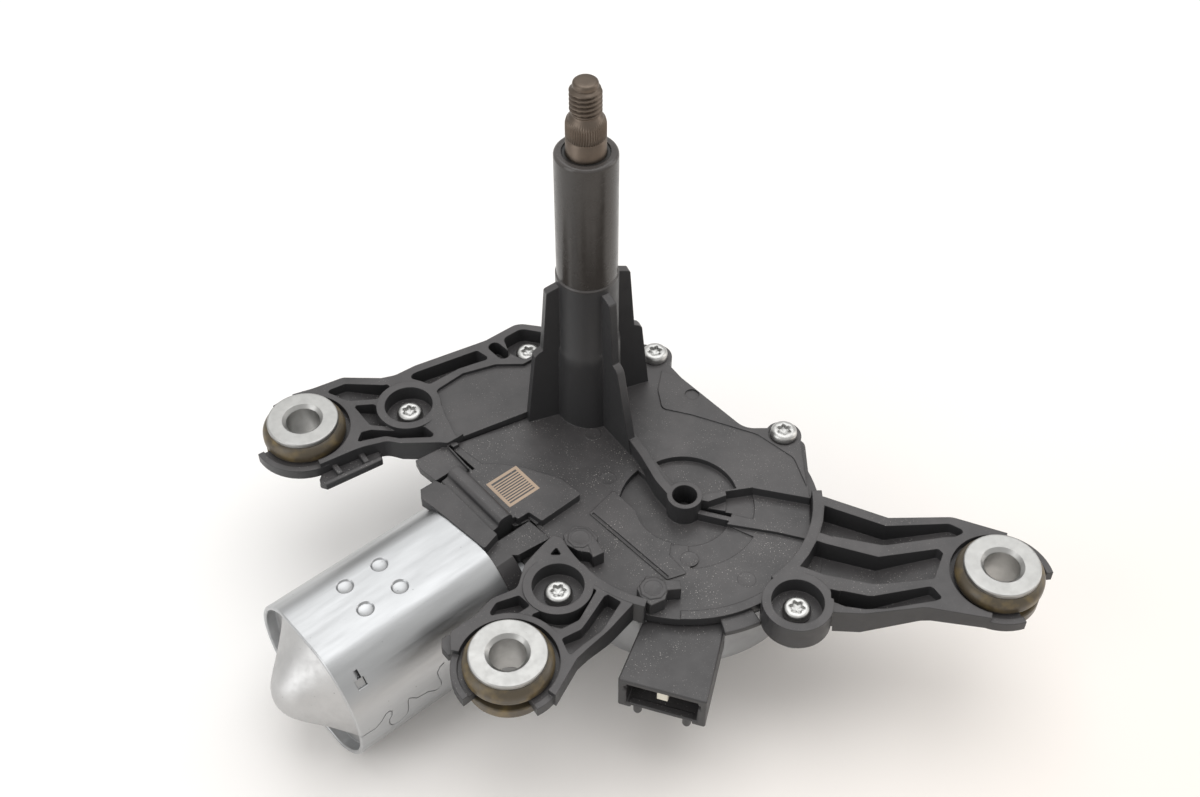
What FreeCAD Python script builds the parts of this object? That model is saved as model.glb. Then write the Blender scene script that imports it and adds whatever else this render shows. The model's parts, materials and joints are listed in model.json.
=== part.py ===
import FreeCAD, Part
import math
import os

os.makedirs("parts", exist_ok=True)

# Rear window wiper motor: a worm gear motor under a moulded cover with three
# rubber mounted arms and a tall tower that carries the wiper spindle.
# Millimetres. +Z runs up the spindle, X runs along the motor, the can is at -X.
# The origin is on the spindle axis where the knurled taper ends and the stud begins.

V = FreeCAD.Vector
UP = V(0, 0, 1)
ALONG = V(1, 0, 0)

# Fits and clearances
RUNNING_FIT = 0.04
ASSEMBLY_FIT = 0.05
PART_GAP = 0.1
SOFT_GAP = 0.3
LINK_GAP = 0.3
FUSE_SINK = 0.4

# Spindle end that carries the wiper arm
STUD_R = 4.0
STUD_LEN = 9.3
STUD_TIP_CHAMFER = 0.8
TAPER_TOP_R = 4.4
TAPER_LEN = 8.4
SHAFT_R = 5.0
LAND_FREE = 2.3
SHAFT_RELIEF = 0.3
SHAFT_LAND = 2.0
LEVER_SEAT_R = 4.0

# Tower moulded on the cover
TUBE_R = 7.95
TUBE_LEN = 38.5
TUBE_BORE_R = 6.0
TUBE_EDGE = 1.0
SLEEVE_R = 8.25
SLEEVE_LEN = 23.8
SLEEVE_EDGE = 0.9
FOOT_R = 8.75
FOOT_FLARE = 0.5
TOWER_ABOVE_WASHER = 80.2
BUSH_LEN = 14.0
SEAL_T = 1.6
RIB_T = 2.2
RIB_TOP_R = 11.6
RIB_STEP_R = 13.1
RIB_LOW_R = 15.4
RIB_FOOT_R = 18.4
RIB_TOP_DROP = 3.0
RIB_EDGE = 0.8
FRONT_RIB_EXTRA = 4.0
RIB_PAIR_AZ = 161.5
BACK_RIB_AZ = 72.0

# Levels below the washer faces that meet the car body
RIM_DROP = 4.0
LUG_DROP = 4.6
HIGH_DROP = 5.0
HOOD_DROP = 6.0
DATA_DROP = 6.3
SLOPE_DROP = 6.4
ARC_DROP = 6.8
SECTOR_DROP = 7.8
BLOCK_DROP = 8.1
DUSTY_DROP = 8.3
STRIP_DROP = 8.4
SEAT_DROP = 8.7
FRONT_DROP = 8.8
RECESS_DROP = 10.6
PLATE_T = 2.5
SKIN_T = 2.3
MARGIN_STEP = 0.35
GASKET_T = 0.5
HOUSING_DEPTH = 22.0
HOUSING_FLOOR = 3.0

# Rubber mounts at the ends of the arms: places in plan, sleeve and rubber
MOUNT_A = (-67.1, 40.1)
MOUNT_B = (-71.1, -54.7)
MOUNT_C = (38.3, -114.2)
SLEEVE_BORE_R = 4.5
SLEEVE_WALL = 1.4
WASHER_R = 9.6
WASHER_T = 1.3
WASHER_EDGE = 0.4
LOW_WASHER_R = 9.0
MOUNT_LEN = 13.2
RUBBER_R = 11.2
RUBBER_LOW_R = 10.9
RUBBER_NECK_R = 9.2
COLLAR_R = 14.1
COLLAR_LIP_R = 12.4
COLLAR_LOW_RIM = 0.7
WEB_TOP_DROP = 6.2
WEB_T = 2.3

# Each collar is a fork: the way its mouth faces, half its mouth, and where its lip is high
FORK_HALF = 39.0
FORK_A = (135.0, -75.0, 60.0)
FORK_B = (221.0, -60.0, 100.0)
FORK_C = (-73.0, 60.0, 190.0)

# Gear train: one start worm and its wheel
HUB = (-4.3, -44.2)
MODULE = 1.0
WHEEL_TEETH = 49
WORM_PITCH_R = 4.6
TOOTH_ADDENDUM = 0.9
TOOTH_DEDENDUM = 1.2
TOOTH_TIP_HALF = 0.34
TOOTH_ROOT_HALF = 0.92
THREAD_ROOT_SINK = 0.3
WHEEL_FACE = 7.0
WHEEL_HUB_R = 9.0
WHEEL_WEB_DEPTH = 3.2
WHEEL_RIM = 3.0
WHEEL_RIBS = 6
WORM_TURNS = 8
AXLE_R = 4.0
MOTOR_DROP = 25.8
CONTACT_OUTER_R = 21.6
CONTACT_BAND = 6.0
CONTACT_T = 0.6

# Crank and lever linkage
HALF_SWEEP = 55.0
LEVER_R = 12.0
LEVER_T = 2.5
LEVER_HUB_R = 7.6
ROD_T = 3.0
ROD_RECESS = 1.0
LINK_EYE_R = 5.2
LINK_PIN_R = 2.5
PIN_HEAD_EXTRA = 1.6
PIN_HEAD_T = 1.2
THRUST_WASHER_T = 0.6
CRANK_PIN_R = 3.0

# Motor
CAN_R = 22.0
FLAT_CUT = 1.8
CAN_WALL = 1.8
RIM_WALL = 1.2
CAN_LEN = 49.9
CAN_MOUTH_X = -54.5
DIMPLE_R = 2.2
DIMPLE_DEPTH = 0.6
DIMPLE_PITCH_X = 10.4
DIMPLE_PITCH_Y = 9.0
MOTOR_SHAFT_R = 3.0
CORE_LEN = 26.0
AIR_GAP = 0.6
MAGNET_T = 5.0
MAGNET_SPAN = 118.0
CLIP_T = 0.9
SLOTS = 12
SLOT_W = 2.6
SLOT_DEPTH = 6.6
COMMUTATOR_R = 7.0
COMMUTATOR_LEN = 9.0
COMMUTATOR_CUT = 1.0
BEARING_R = 9.5
BEARING_T = 6.0
BUSH_SEAT_R = 7.4
TUNNEL_R = 7.2
HOLDER_T = 5.5
SPIGOT_LEN = 3.5
SPIGOT_T = 3.6
BRUSH_W = 4.4
BRUSH_OUT = 13.6
BRUSH_SPRING_ROOM = 3.6
BRUSH_TUBE_WALL = 1.2
SPRING_R = 1.9
SPRING_BORE_R = 1.2
CHOKE_R = 2.2
CHOKE_LEN = 10.0

# End plate of the can: a cone with a round nose and three lobes
PLATE_IN = 3.0
END_PLATE_T = 1.6
CONE_R = 17.6
CONE_LEN = 13.5
NOSE_R = 8.2
LOBE_GAP_HALF = 25.0
LOBE_ROOT_R = 10.2

# Cover screws, in plan, with the seat that each head has
SCREW_PLACES = ((-40.4, 28.9), (-0.9, 25.6), (24.4, -0.6), (30.9, -45.6), (-6.0, -87.2), (-47.8, -45.0))
SCREW_SEATS = ("well", "open", "edge", "edge", "well", "well")
SCREW_HEAD_R = 3.6
SCREW_HEAD_H = 2.5
SCREW_R = 2.0
SCREW_LEN = 9.0
SCREW_POST_R = 4.0
HEAD_ROOM = 0.4
WELL_R = 6.6
WELL_WALL = 2.3
WELL_SKIRT = 1.8
SEAT_POST_R = 4.9

# Round part of the cover and the housing about the hub
DISC_R = 36.0
RING_WALL = 2.6
ARM_WEB = 2.0
KINK_DROP = 2.4
HUB_BOSS_R = 4.65
HUB_BORE_R = 3.3
RECESS_FAR_R = 17.3
RECESS_NEAR_R = 12.8
RECESS_WALL = 2.0
PLATE_ARC_R = 14.1
FAINT_ARC_R = 20.3
FAINT_STEP = 0.5
RIDGE_T = 2.4
CASE_INSET = 1.4
CASE_FLANGE_T = 2.0
CASE_ROUND = 5.0

# Rooms inside the gear housing
LEVER_ROOM_R = 19.5
WHEEL_ROOM_R = 27.6
FLANGE_T = 2.1
LEVER_FLOOR_T = 2.2
TUNNEL_TUBE_R = 13.0
WHEEL_SEAT_R = 8.0
AXLE_SINK = 0.6

# Connector under the front of the cover
CONNECTOR_AZ = 212.0
CONNECTOR_ROOT_AZ = 227.5
CONNECTOR_W = 22.4
CONNECTOR_H = 9.4
CONNECTOR_REACH = 19.6
CONNECTOR_WALL = 1.6
CONNECTOR_BACK_WALL = 6.0
CONNECTOR_DROP = 0.2
BLOCK_IN = 12.0
BLOCK_NARROW = 2.0
KEY_W = 2.6
KEY_AT = 6.6
TAB_W = 5.0
LEG_W = 3.0
LEG_DROP = 3.2
PIN_COUNT = 5
PIN_PITCH = 3.4
BLADE_W = 2.0
BLADE_T = 0.8
BLADE_TAIL = 1.5
BLADE_OUT = 11.5
FINGER_COUNT = 3
FINGER_W = 1.8
FINGER_REACH = 18.4
FINGER_STEP = 1.6

# Levels worked out from the sizes above
Z_TUBE_TOP = -(TAPER_LEN + LAND_FREE)
Z_MOULD = Z_TUBE_TOP - TUBE_LEN
Z_STEP = Z_MOULD - SLEEVE_LEN
Z_WASHER = Z_TUBE_TOP - TOWER_ABOVE_WASHER
Z_RIM = Z_WASHER - RIM_DROP
Z_LUG = Z_WASHER - LUG_DROP
Z_HIGH = Z_WASHER - HIGH_DROP
Z_HOOD = Z_WASHER - HOOD_DROP
Z_DATA = Z_WASHER - DATA_DROP
Z_SLOPE = Z_WASHER - SLOPE_DROP
Z_ARC = Z_WASHER - ARC_DROP
Z_SECTOR = Z_WASHER - SECTOR_DROP
Z_BLOCK = Z_WASHER - BLOCK_DROP
Z_DUSTY = Z_WASHER - DUSTY_DROP
Z_STRIP = Z_WASHER - STRIP_DROP
Z_SEAT = Z_WASHER - SEAT_DROP
Z_FRONT = Z_WASHER - FRONT_DROP
Z_RECESS = Z_WASHER - RECESS_DROP
Z_SEAM = Z_FRONT - PLATE_T
Z_DISH = Z_RECESS - SKIN_T
Z_HOUSING = Z_SEAM - GASKET_T
Z_BOTTOM = Z_HOUSING - HOUSING_DEPTH
Z_SKIRT = Z_SEAM - WELL_SKIRT
Z_WEB_TOP = Z_WASHER - WEB_TOP_DROP
Z_WEB_LOW = Z_WEB_TOP - WEB_T
Z_CONNECTOR_TOP = Z_HOUSING - CONNECTOR_DROP
Z_CONNECTOR_LOW = Z_CONNECTOR_TOP - CONNECTOR_H
Z_BLADE = (Z_CONNECTOR_TOP + Z_CONNECTOR_LOW) / 2
ABOVE_ALL = Z_RIM + 1.0
MOTOR_Z = Z_WASHER - MOTOR_DROP
WHEEL_R = MODULE * WHEEL_TEETH / 2
WORM_PITCH = math.pi * MODULE
WORM_ROOT_R = WORM_PITCH_R - TOOTH_DEDENDUM + PART_GAP
WORM_HALF = WORM_PITCH * (WORM_TURNS / 2 + 0.5)
MOTOR_Y = HUB[1] + WHEEL_R + WORM_PITCH_R
Z_WHEEL_TOP = MOTOR_Z + WHEEL_FACE / 2
Z_WHEEL_LOW = MOTOR_Z - WHEEL_FACE / 2
CONTACT_INNER_R = CONTACT_OUTER_R - CONTACT_BAND

# Stations along the motor and sizes that follow the can
CAN_FLAT = CAN_R - FLAT_CUT
Z_CAN_TOP = MOTOR_Z + CAN_FLAT
CORE_R = CAN_R - CAN_WALL - MAGNET_T - AIR_GAP
COIL_R = CORE_R - 1.2
CAN_REAR_X = CAN_MOUTH_X - CAN_LEN
END_PLATE_X = CAN_REAR_X + PLATE_IN
SHAFT_TAIL_X = CAN_REAR_X - 5.6
SHAFT_NOSE_X = HUB[0] + WORM_HALF + 9.0
HOUSING_FACE_X = CAN_MOUTH_X + HOLDER_T
BEARING_X = HOUSING_FACE_X + 7.0
COMMUTATOR_X = CAN_MOUTH_X - 0.8
CORE_FRONT_X = CAN_MOUTH_X - 13.6
CORE_REAR_X = CORE_FRONT_X - CORE_LEN
BRUSH_X0 = COMMUTATOR_X - COMMUTATOR_LEN + 1.8
BRUSH_X1 = COMMUTATOR_X - 1.4
TUBE_OUT = BRUSH_OUT + BRUSH_SPRING_ROOM
TUBE_IN = COMMUTATOR_R + 1.4
DIMPLE_MIDDLE = (CAN_MOUTH_X - 28.1, MOTOR_Y + 0.8)

# Linkage levels, from the lower tower bush down
Z_BUSH_LOW = Z_SEAM
Z_LEVER_TOP = Z_BUSH_LOW - THRUST_WASHER_T
Z_LEVER_LOW = Z_LEVER_TOP - LEVER_T
Z_ROD_TOP = Z_LEVER_LOW - LINK_GAP
Z_ROD_LOW = Z_ROD_TOP - ROD_T
LEVER_FLOOR = Z_ROD_LOW - LINK_GAP - LEVER_FLOOR_T

# Linkage plan: at each end of the stroke the crank, the rod and the lever pin are in line with the hub
HUB_AZ = math.atan2(-HUB[1], -HUB[0])
HUB_DIST = math.hypot(HUB[0], HUB[1])
FRONT_RIB_AZ = math.degrees(HUB_AZ) + 180.0
LINE_OFFSET = LEVER_R * math.cos(math.radians(HALF_SWEEP))
ROD_LEN = math.sqrt(HUB_DIST ** 2 - LINE_OFFSET ** 2)
CRANK_R = LEVER_R * math.sin(math.radians(HALF_SWEEP))
LINE_AZ = math.degrees(HUB_AZ + math.asin(LINE_OFFSET / HUB_DIST))

# Arms: their axes in plan, and a width that clears any of them
ARM_A_AZ = -23.0
ARM_B_AZ = math.degrees(math.atan2(-45.0 - MOUNT_B[1], -47.8 - MOUNT_B[0]))
ARM_C_AZ = math.degrees(math.atan2(MOUNT_C[1] - HUB[1], MOUNT_C[0] - HUB[0]))
ARM_C_REACH = math.hypot(MOUNT_C[0] - HUB[0], MOUNT_C[1] - HUB[1])
WIDE = 2 * DISC_R

# Field that falls from the motor's side of the tower towards the hub
SLOPE_START = (-38.0, 9.8)
SLOPE_AZ = -60.0
SLOPE_RUN = 38.0
SLOPE_BACK = 10.0


def screw_seat(i):
    """Level under the head of a cover screw: sunk, or on the high field beside the right edge."""
    return Z_HIGH if SCREW_SEATS[i] == "edge" else Z_SEAT


def polar(centre, radius, azimuth):
    """Point in plan at a radius and an azimuth in degrees from a centre."""
    a = math.radians(azimuth)
    return (centre[0] + radius * math.cos(a), centre[1] + radius * math.sin(a))


CRANK_PIN = polar(HUB, CRANK_R, LINE_AZ)
LEVER_PIN = polar(HUB, CRANK_R + ROD_LEN, LINE_AZ)
CONNECTOR_BACK = polar(HUB, DISC_R - 0.2, CONNECTOR_ROOT_AZ)


def rounded_wire(points, z=0.0):
    """Closed wire through (x, y[, corner radius]) points, with an arc at each rounded corner."""
    edges = []
    ends = []
    count = len(points)
    for i in range(count):
        x, y = points[i][0], points[i][1]
        r = points[i][2] if len(points[i]) > 2 else 0
        here = V(x, y, z)
        before = V(points[i - 1][0], points[i - 1][1], z)
        after = V(points[(i + 1) % count][0], points[(i + 1) % count][1], z)
        a = (before - here).normalize()
        b = (after - here).normalize()
        if r <= 0:
            ends.append((here, here, None))
            continue
        half = a.getAngle(b) / 2
        back = r / math.tan(half)
        middle = (a + b).normalize()
        centre = here + middle * (r / math.sin(half))
        ends.append((here + a * back, here + b * back, centre - middle * r))
    for i in range(count):
        first, last, bulge = ends[i]
        if bulge is not None:
            edges.append(Part.Arc(first, bulge, last).toShape())
        following = ends[(i + 1) % count][0]
        if last.distanceToPoint(following) > 1e-6:
            edges.append(Part.LineSegment(last, following).toShape())
    return Part.Wire(edges)


def prism(points, z0, z1):
    """Solid between two levels over an outline of (x, y[, corner radius]) points."""
    return Part.Face(rounded_wire(points, z0)).extrude(V(0, 0, z1 - z0))


def post(radius, z0, z1, at=(0.0, 0.0)):
    """Upright cylinder between two levels."""
    return Part.makeCylinder(radius, z1 - z0, V(at[0], at[1], z0), UP)


def ring(outer, inner, z0, z1, at=(0.0, 0.0)):
    return post(outer, z0, z1, at).cut(post(inner, z0, z1, at))


def rod_along(radius, x0, x1):
    """Cylinder on the motor axis between two stations."""
    return Part.makeCylinder(radius, x1 - x0, V(x0, MOTOR_Y, MOTOR_Z), ALONG)


def tube_along(outer, inner, x0, x1):
    return rod_along(outer, x0, x1).cut(rod_along(inner, x0, x1))


def upright_face(profile):
    """Face in the XZ plane from (x, z[, corner radius]) points."""
    face = Part.Face(rounded_wire(profile))
    face.rotate(V(0, 0, 0), ALONG, 90)
    return face


def revolve_up(profile, at=(0.0, 0.0)):
    """Solid of revolution about an upright axis from (radius, z[, corner radius]) points."""
    face = upright_face(profile)
    face.translate(V(at[0], at[1], 0))
    return face.revolve(V(at[0], at[1], 0), UP, 360)


def revolve_along(profile):
    """Solid of revolution about the motor axis from (station, radius[, corner radius]) points."""
    face = upright_face(profile)
    face.translate(V(0, MOTOR_Y, MOTOR_Z))
    return face.revolve(V(0, MOTOR_Y, MOTOR_Z), ALONG, 360)


def turned(shape, azimuth, at=(0.0, 0.0)):
    """Copy of a shape drawn along +X, turned in plan and moved to a place."""
    copy = shape.copy()
    copy.rotate(V(0, 0, 0), UP, azimuth)
    copy.translate(V(at[0], at[1], 0))
    return copy


def side_profile(points, half_width, azimuth, at):
    """Wide solid whose side view is a list of (distance, z[, corner radius]) points."""
    face = upright_face(points)
    face.translate(V(0, -half_width, 0))
    return turned(face.extrude(V(0, 2 * half_width, 0)), azimuth, at)


def arc_band(centre, outer, inner, az0, az1, z0, z1):
    """Part of a ring in plan between two azimuths."""
    spread = 3.0 * outer
    wedge = [centre, polar(centre, spread, az0), polar(centre, spread, (az0 + az1) / 2), polar(centre, spread, az1)]
    body = post(outer, z0, z1, centre)
    if inner > 0:
        body = ring(outer, inner, z0, z1, centre)
    return body.common(prism(wedge, z0, z1))


def rib_wall(start, end, thickness, z0, z1):
    """Straight wall in plan between two points."""
    length = math.hypot(end[0] - start[0], end[1] - start[1])
    azimuth = math.degrees(math.atan2(end[1] - start[1], end[0] - start[0]))
    wall = Part.makeBox(length, thickness, z1 - z0, V(0, -thickness / 2, z0))
    return turned(wall, azimuth, start)


def hull_plate(c0, r0, c1, r1, z0, z1):
    """Plate with two round ends joined by their common tangents."""
    length = math.hypot(c1[0] - c0[0], c1[1] - c0[1])
    azimuth = math.degrees(math.atan2(c1[1] - c0[1], c1[0] - c0[0]))
    lean = math.acos((r0 - r1) / length)
    near = (r0 * math.cos(lean), r0 * math.sin(lean))
    far = (length + r1 * math.cos(lean), r1 * math.sin(lean))
    body = turned(prism([near, far, (far[0], -far[1]), (near[0], -near[1])], z0, z1), azimuth, c0)
    return body.fuse([post(r0, z0, z1, c0), post(r1, z0, z1, c1)]).removeSplitter()


def clipped(outer, flat, x0, x1):
    """Motor section: a round body with a flat above and below, between two stations."""
    band = Part.makeBox(x1 - x0, 2 * outer, 2 * flat, V(x0, MOTOR_Y - outer, MOTOR_Z - flat))
    return rod_along(outer, x0, x1).common(band)


def sector_along(az0, az1, reach, x0, x1):
    """Wedge about the motor axis; the azimuth is measured from +Y towards +Z."""
    points = [V(x0, MOTOR_Y, MOTOR_Z)]
    for az in (az0, (az0 + az1) / 2, az1):
        a = math.radians(az)
        points.append(V(x0, MOTOR_Y + reach * math.cos(a), MOTOR_Z + reach * math.sin(a)))
    return Part.Face(Part.makePolygon(points + [points[0]])).extrude(V(x1 - x0, 0, 0))


def about_motor(shape, angle):
    copy = shape.copy()
    copy.rotate(V(0, MOTOR_Y, MOTOR_Z), ALONG, angle)
    return copy


# Cover

def plate_outline():
    """Outline of the flat plate between the arms."""
    return [(29.5, 4.6, 5.5), (26.2, -9.0, 20.0), (26.5, -36.0, 6.0), (35.5, -42.0, 4.5), (35.8, -49.5, 3.0),
            (22.0, -65.5), (0.0, -60.0), (-36.0, -47.0), (-38.0, -31.0, 1.0), (-38.0, -21.4, 1.0),
            (-42.5, -20.5, 1.0), (-42.5, 4.0, 1.0), (-39.4, 11.6, 1.5), (-44.0, 24.0, 3.0), (-37.0, 38.0, 3.0),
            (-9.0, 34.8, 3.0), (2.2, 34.4, 5.0), (12.0, 22.0, 6.0)]


def beyond_right_edge():
    """Field to the right of the plate, where the round part of the cover is cut straight."""
    return [(26.3, 10.0), (26.5, -36.0, 6.0), (35.5, -42.0), (60.0, -42.0), (60.0, 10.0)]


def high_left_outline():
    return [(-37.4, 10.9, 0.5), (-16.3, 6.2), (-4.0, 1.8), (6.0, 8.0), (8.0, 20.0, 2.0), (-6.5, 20.6, 1.0),
            (-12.6, 25.6, 1.5), (-21.8, 28.8, 2.0), (-31.5, 28.4, 2.0), (-35.0, 19.0, 2.0)]


def high_right_outline():
    return [(-1.2, 4.0), (14.0, 14.0, 2.0), (26.5, 4.0, 3.0), (24.4, -12.0, 15.0), (24.6, -37.0, 6.0),
            (33.0, -44.0, 3.0), (33.0, -50.0, 3.0), (21.5, -64.4), (20.6, -65.9), (11.1, -52.9, 3.0),
            (-2.3, -48.7), (-6.0, -44.0), (-5.6, -36.0), (-1.5, -27.0)]


def margin_outline():
    """Slightly raised margin along the right edge."""
    return [(22.0, -6.2), (16.1, -11.1, 3.0), (12.3, -17.0, 2.0), (17.0, -24.2, 8.0), (25.6, -40.9, 8.0),
            (27.1, -53.3, 4.0), (22.6, -62.4), (32.8, -50.2, 2.0), (32.8, -44.2, 3.0), (24.4, -37.2, 6.0),
            (24.2, -12.0)]


def slope_outline():
    """Field between the motor, the tower and the hub."""
    return [(-38.4, 10.6, 0.5), (-16.0, 6.0), (0.0, 2.0), (0.0, -12.0), (-4.0, -26.6), (-6.6, -34.0),
            (-12.0, -28.0), (-24.0, -25.0), (-38.0, -24.0), (-38.6, 0.0)]


def data_outline():
    """Flat pad beside the motor, level with the high end of the sloped field."""
    return [(-41.4, 0.2, 0.5), (-42.1, -17.2, 1.0), (-41.3, -20.7, 0.5), (-37.8, -20.7, 0.5), (-37.0, -25.2, 0.5),
            (-23.4, -24.9, 0.8), (-24.1, -17.2, 3.0), (-29.3, -7.7, 6.0), (-33.8, -2.1, 3.0), (-37.0, 0.4, 1.0)]


def raised(outline, top):
    """Raised field of the plate, and the room under it that keeps its skin at an even thickness."""
    body = prism(outline, Z_SEAM, top)
    inner = Part.Face(rounded_wire(outline, Z_SEAM).makeOffset2D(-SKIN_T))
    return body, inner.extrude(V(0, 0, top - SKIN_T - Z_SEAM))


def sloped_field(outline, lowered):
    """Field under the sloped surface, which can be lowered by the skin to give the room under it."""
    fall = (Z_SLOPE - Z_FRONT) / SLOPE_RUN
    high = Z_SLOPE + SLOPE_BACK * fall - lowered
    side = [(-SLOPE_BACK, Z_SEAM), (-SLOPE_BACK, high), (SLOPE_RUN, Z_FRONT - lowered), (SLOPE_RUN, Z_SEAM)]
    return prism(outline, Z_SEAM, Z_RIM).common(side_profile(side, WIDE, SLOPE_AZ, SLOPE_START))


def tower_solid():
    profile = [(0, Z_SEAM), (FOOT_R + FOOT_FLARE, Z_SEAM), (FOOT_R, Z_STEP), (SLEEVE_R, Z_STEP + SLEEVE_EDGE),
               (SLEEVE_R, Z_MOULD), (TUBE_R, Z_MOULD + SOFT_GAP), (TUBE_R, Z_TUBE_TOP, TUBE_EDGE), (0, Z_TUBE_TOP)]
    return revolve_up(profile)


def tower_rib(azimuth, foot_r):
    """Stepped stiffening rib beside the tower."""
    top = Z_MOULD - RIB_TOP_DROP
    root = TUBE_BORE_R + 1.0
    outline = [(root, Z_SEAM), (foot_r, Z_SEAM), (RIB_LOW_R, Z_STEP - 1.0), (RIB_LOW_R - RIB_EDGE, Z_STEP),
               (RIB_STEP_R, Z_STEP + RIB_EDGE), (RIB_TOP_R, top, RIB_EDGE), (root, top + 1.6)]
    return side_profile(outline, RIB_T / 2, azimuth, (0.0, 0.0))


def ridge():
    """Curved wall from the front rib of the tower to the hub boss."""
    left = [(-0.6, -3.0), (-0.9, -12.7, 20.0), (-4.05, -26.6, 30.0), (-6.8, -35.7, 12.0), (-7.6, -41.7)]
    right = [(-5.2, -41.7), (-6.8 + RIDGE_T, -36.0, 12.0), (-4.05 + RIDGE_T, -27.2, 30.0),
             (-0.9 + RIDGE_T, -12.7, 20.0), (1.8, -3.0)]
    return prism(left + right, Z_SEAM, Z_RIM)


def hub_recess(z0, z1, spare):
    """Sunk ground left of and below the hub boss; a spare width gives the dish that carries it."""
    left_x = -15.1 - spare
    far = post(RECESS_FAR_R + spare, z0, z1, HUB)
    far = far.common(prism([(left_x, -52.0), (left_x, -20.0), (-5.0, -20.0), (HUB[0] - 1.0, -44.0)], z0, z1))
    near = arc_band(HUB, RECESS_NEAR_R + spare, 0, 110.0, 307.0, z0, z1)
    return far.fuse(near).fuse(post(HUB_BOSS_R + spare, z0, z1, HUB))


def hood():
    """Rounded ridge beside the motor's mouth, on a base that reaches over it."""
    section = [(-48.9, Z_SEAM), (-48.9, Z_DATA), (-47.0, Z_HOOD, 1.0), (-46.4, Z_RIM, 1.6), (-42.6, Z_RIM, 1.4),
               (-42.2, Z_DATA), (-41.2, Z_DATA), (-41.2, Z_SEAM)]
    body = upright_face(section)
    body.translate(V(0, -19.6, 0))
    return body.extrude(V(0, 22.0, 0))


def side_plates():
    """Thin plate, slotted rib and pad where the left arm meets the motor."""
    plate = prism([(-50.0, 12.6), (-39.0, 11.6), (-40.0, -0.9), (-44.3, 3.4), (-50.1, 3.4, 0.5), (-50.7, 9.7)],
                  Z_HOOD - SKIN_T, Z_HOOD)
    rib = prism([(-40.9, 11.0, 0.5), (-38.2, 10.2), (-36.6, -2.2), (-41.6, -2.3)], Z_SEAM, Z_HIGH)
    slot = prism([(-40.7, 10.4), (-39.9, 10.4), (-39.5, -0.6), (-40.3, -0.6)], Z_FRONT, Z_HIGH)
    return plate.fuse(rib).cut(slot)


def arm_c():
    """Long ribbed arm, drawn along its own axis from the hub; it dips between the ring and the collar."""
    ring_at = 30.0
    kink_at = 52.0
    collar_at = 68.0
    reach = ARM_C_REACH
    z_kink = Z_RIM - KINK_DROP
    outline = [(ring_at, 10.7), (kink_at, 11.0, 3.0), (collar_at, 14.4, 6.0), (reach, 13.6),
               (reach, -14.0), (collar_at - 2.4, -15.8, 5.0), (kink_at, -20.7, 5.0), (43.0, -24.0),
               (ring_at, -24.0)]
    side = [(ring_at, Z_RIM), (35.0, Z_RIM), (kink_at, z_kink), (collar_at - 1.0, Z_RIM), (reach, Z_RIM),
            (reach, Z_RIM - WEB_TOP_DROP + 1.8), (collar_at, Z_RIM - 5.2), (kink_at, z_kink - 8.0),
            (37.0, Z_SEAM - 1.0), (DISC_R + 0.2, Z_SEAM), (ring_at, Z_SEAM)]
    body = turned(prism(outline, Z_BOTTOM, Z_RIM), ARM_C_AZ, HUB)
    body = body.common(side_profile(side, WIDE, ARM_C_AZ, HUB))
    floor = [(ring_at, ABOVE_ALL), (ring_at, Z_SEAM + 1.2), (DISC_R, Z_SEAM + 0.8), (kink_at, z_kink - 8.0 + ARM_WEB),
             (collar_at, Z_RIM - 5.2 + ARM_WEB), (reach, Z_RIM - 4.4 + ARM_WEB), (reach, ABOVE_ALL)]
    room = side_profile(floor, WIDE, ARM_C_AZ, HUB)
    pockets = [
        [(38.4, 8.0, 0.8), (kink_at, 8.2, 3.0), (67.4, 12.0, 3.0), (72.0, 10.8, 1.0), (69.4, 8.3, 1.0),
         (53.5, 2.0, 3.0), (38.4, -1.0, 0.8)],
        [(38.4, -3.8, 0.8), (kink_at, -2.3, 3.0), (66.0, 3.2, 0.8), (67.4, 2.0, 0.8), (66.6, -6.4, 1.0),
         (54.6, -10.6, 3.0), (39.4, -13.4, 1.0)],
        [(44.4, -16.4, 0.8), (53.2, -14.8, 3.0), (66.4, -8.9, 1.5), (69.6, -11.8, 0.8), (67.6, -13.4, 1.0),
         (57.0, -18.0, 3.0), (46.6, -20.6, 1.0)],
    ]
    for pocket in pockets:
        body = body.cut(turned(prism(pocket, Z_BOTTOM, ABOVE_ALL), ARM_C_AZ, HUB).common(room))
    return body.cut(post(DISC_R - RING_WALL, Z_FRONT, ABOVE_ALL, HUB))


def level_arm(outline, pockets, dips, azimuth, at):
    """Ribbed arm with open pockets; dips lists (distance, rim z, bottom z) along the arm from the collar."""
    top_line = [(d, z) for d, z, low in dips]
    low_line = [(d, low) for d, z, low in dips]
    body = prism(outline, Z_BOTTOM, Z_RIM)
    body = body.common(side_profile(top_line + low_line[::-1], WIDE, azimuth, at))
    floor_line = [(d, low + ARM_WEB) for d, z, low in dips]
    roof = [(dips[-1][0], ABOVE_ALL), (dips[0][0], ABOVE_ALL)]
    room = side_profile(floor_line + roof, WIDE, azimuth, at)
    for pocket in pockets:
        body = body.cut(prism(pocket, Z_BOTTOM, ABOVE_ALL).common(room))
    return body


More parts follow.
